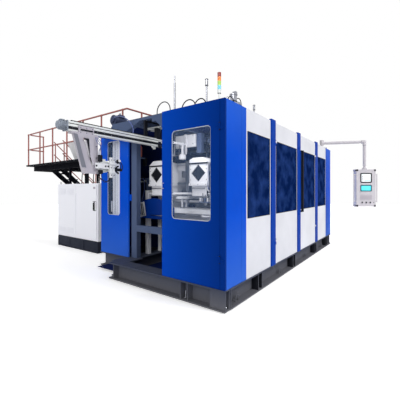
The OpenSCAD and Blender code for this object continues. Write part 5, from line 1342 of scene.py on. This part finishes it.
class LINE_OT_stage(bpy.types.Operator):
    """Pale floor, soft lights, the camera and the white background"""

    bl_idname = "line.stage"
    bl_label = "Stage"

    def execute(self, context):
        scene = context.scene
        scene.view_settings.view_transform = "Standard"
        side = np.linspace(-FLOOR_REACH, FLOOR_REACH, 3)
        x, y = np.meshgrid(side, side, indexing="ij")
        mesh = bpy.data.meshes.new("floor")
        quads = net(np.stack([x, y, 0 * x - 0.0005], -1), round_v=False)
        mesh.from_pydata(quads.points.tolist(), [], quads.loops.reshape(-1, 4)[:, ::-1].tolist())
        floor = bpy.data.objects.new("floor", mesh)
        scene.collection.objects.link(floor)
        f = Finish("floor_paint").set(Roughness=0.6, Specular_IOR_Level=0.2)
        f.colour(f.mixed(f.ranged(f.noise(0.6), 0, 1), (0.9, 0.9, 0.91), (0.92, 0.92, 0.92)))
        path = f.tree.nodes.new("ShaderNodeLightPath")
        seen = f.tree.nodes.new("ShaderNodeMath")
        seen.operation = "MULTIPLY"
        seen.inputs[1].default_value = FLOOR_GLOW
        f.link(path.outputs["Is Camera Ray"], seen.inputs[0])
        f.shader.inputs["Emission Color"].default_value = (1, 1, 1, 1)
        f.link(seen.outputs[0], f.shader.inputs["Emission Strength"])
        mesh.materials.append(f.material)

        world = bpy.data.worlds.new("studio")
        scene.world = world
        world.use_nodes = True
        tree = world.node_tree
        tree.nodes.clear()
        out = tree.nodes.new("ShaderNodeOutputWorld")
        mix = tree.nodes.new("ShaderNodeMixShader")
        rays = tree.nodes.new("ShaderNodeLightPath")
        direct = rays.outputs["Is Camera Ray"]
        for kind in ("Is Glossy Ray", "Is Transmission Ray"):
            either = tree.nodes.new("ShaderNodeMath")
            either.operation = "MAXIMUM"
            tree.links.new(direct, either.inputs[0])
            tree.links.new(rays.outputs[kind], either.inputs[1])
            direct = either.outputs[0]
        for strength, socket in ((0.5, 1), (1.0, 2)):
            light = tree.nodes.new("ShaderNodeBackground")
            light.inputs["Color"].default_value = (1, 1, 1, 1)
            light.inputs["Strength"].default_value = strength
            tree.links.new(light.outputs[0], mix.inputs[socket])
        tree.links.new(direct, mix.inputs[0])
        tree.links.new(mix.outputs[0], out.inputs["Surface"])

        for name, energy, turn in (("key", 1.7, (48, 0, 14)), ("fill", 1.1, (63, 0, -72))):
            sun = bpy.data.lights.new(name, "SUN")
            sun.energy = energy
            sun.angle = math.radians(20)
            lamp = bpy.data.objects.new(name, sun)
            lamp.rotation_euler = [math.radians(a) for a in turn]
            scene.collection.objects.link(lamp)

        glow = bpy.data.lights.new("inside", "AREA")
        glow.size = 0.4
        glow.energy = 11
        lamp = bpy.data.objects.new("inside", glow)
        lamp.location = (-2.5, -0.8, 2.6)
        lamp.rotation_euler = [math.radians(a) for a in (45, 0, -38)]
        lamp.visible_camera = lamp.visible_glossy = False
        scene.collection.objects.link(lamp)

        lens_data = bpy.data.cameras.new("camera")
        lens_data.lens = 25.29
        lens_data.sensor_width = 36
        lens_data.shift_y = -0.024
        lens_data.clip_end = 200
        camera = bpy.data.objects.new("camera", lens_data)
        camera.location = (-6.095, -3.505, EYE_LEVEL)
        camera.rotation_euler = (math.pi / 2, 0, CAMERA_TURN)
        scene.collection.objects.link(camera)
        scene.camera = camera
        return {"FINISHED"}


class LINE_PT_panel(bpy.types.Panel):
    """Lists the steps that dress the machine"""

    bl_label = "Blow moulding machine"
    bl_idname = "LINE_PT_panel"
    bl_space_type = "VIEW_3D"
    bl_region_type = "UI"
    bl_category = "Blow Moulding"

    def draw(self, context):
        for name in ("line_paints", "line_sizes"):
            group = getattr(context.scene, name)
            for key in group.__annotations__:
                self.layout.prop(group, key)
        for step in STEPS:
            self.layout.operator(step.bl_idname)


STEPS = [LINE_OT_finishes, LINE_OT_gaskets, LINE_OT_feet, LINE_OT_guard_trim, LINE_OT_roof,
         LINE_OT_take_out, LINE_OT_trim_station, LINE_OT_interior, LINE_OT_panel_front,
         LINE_OT_cabinet, LINE_OT_walkway, LINE_OT_extruder, LINE_OT_moulds, LINE_OT_stage]
CLASSES = [LinePaints, LineSizes, *STEPS, LINE_PT_panel]


def register():
    for cls in CLASSES:
        bpy.utils.register_class(cls)
    bpy.types.Scene.line_paints = PointerProperty(type=LinePaints)
    bpy.types.Scene.line_sizes = PointerProperty(type=LineSizes)


def unregister():
    del bpy.types.Scene.line_sizes
    del bpy.types.Scene.line_paints
    for cls in reversed(CLASSES):
        bpy.utils.unregister_class(cls)


def main():
    register()
    for step in STEPS:
        group, name = step.bl_idname.split(".")
        getattr(getattr(bpy.ops, group), name)()


if __name__ == "__main__":
    main()
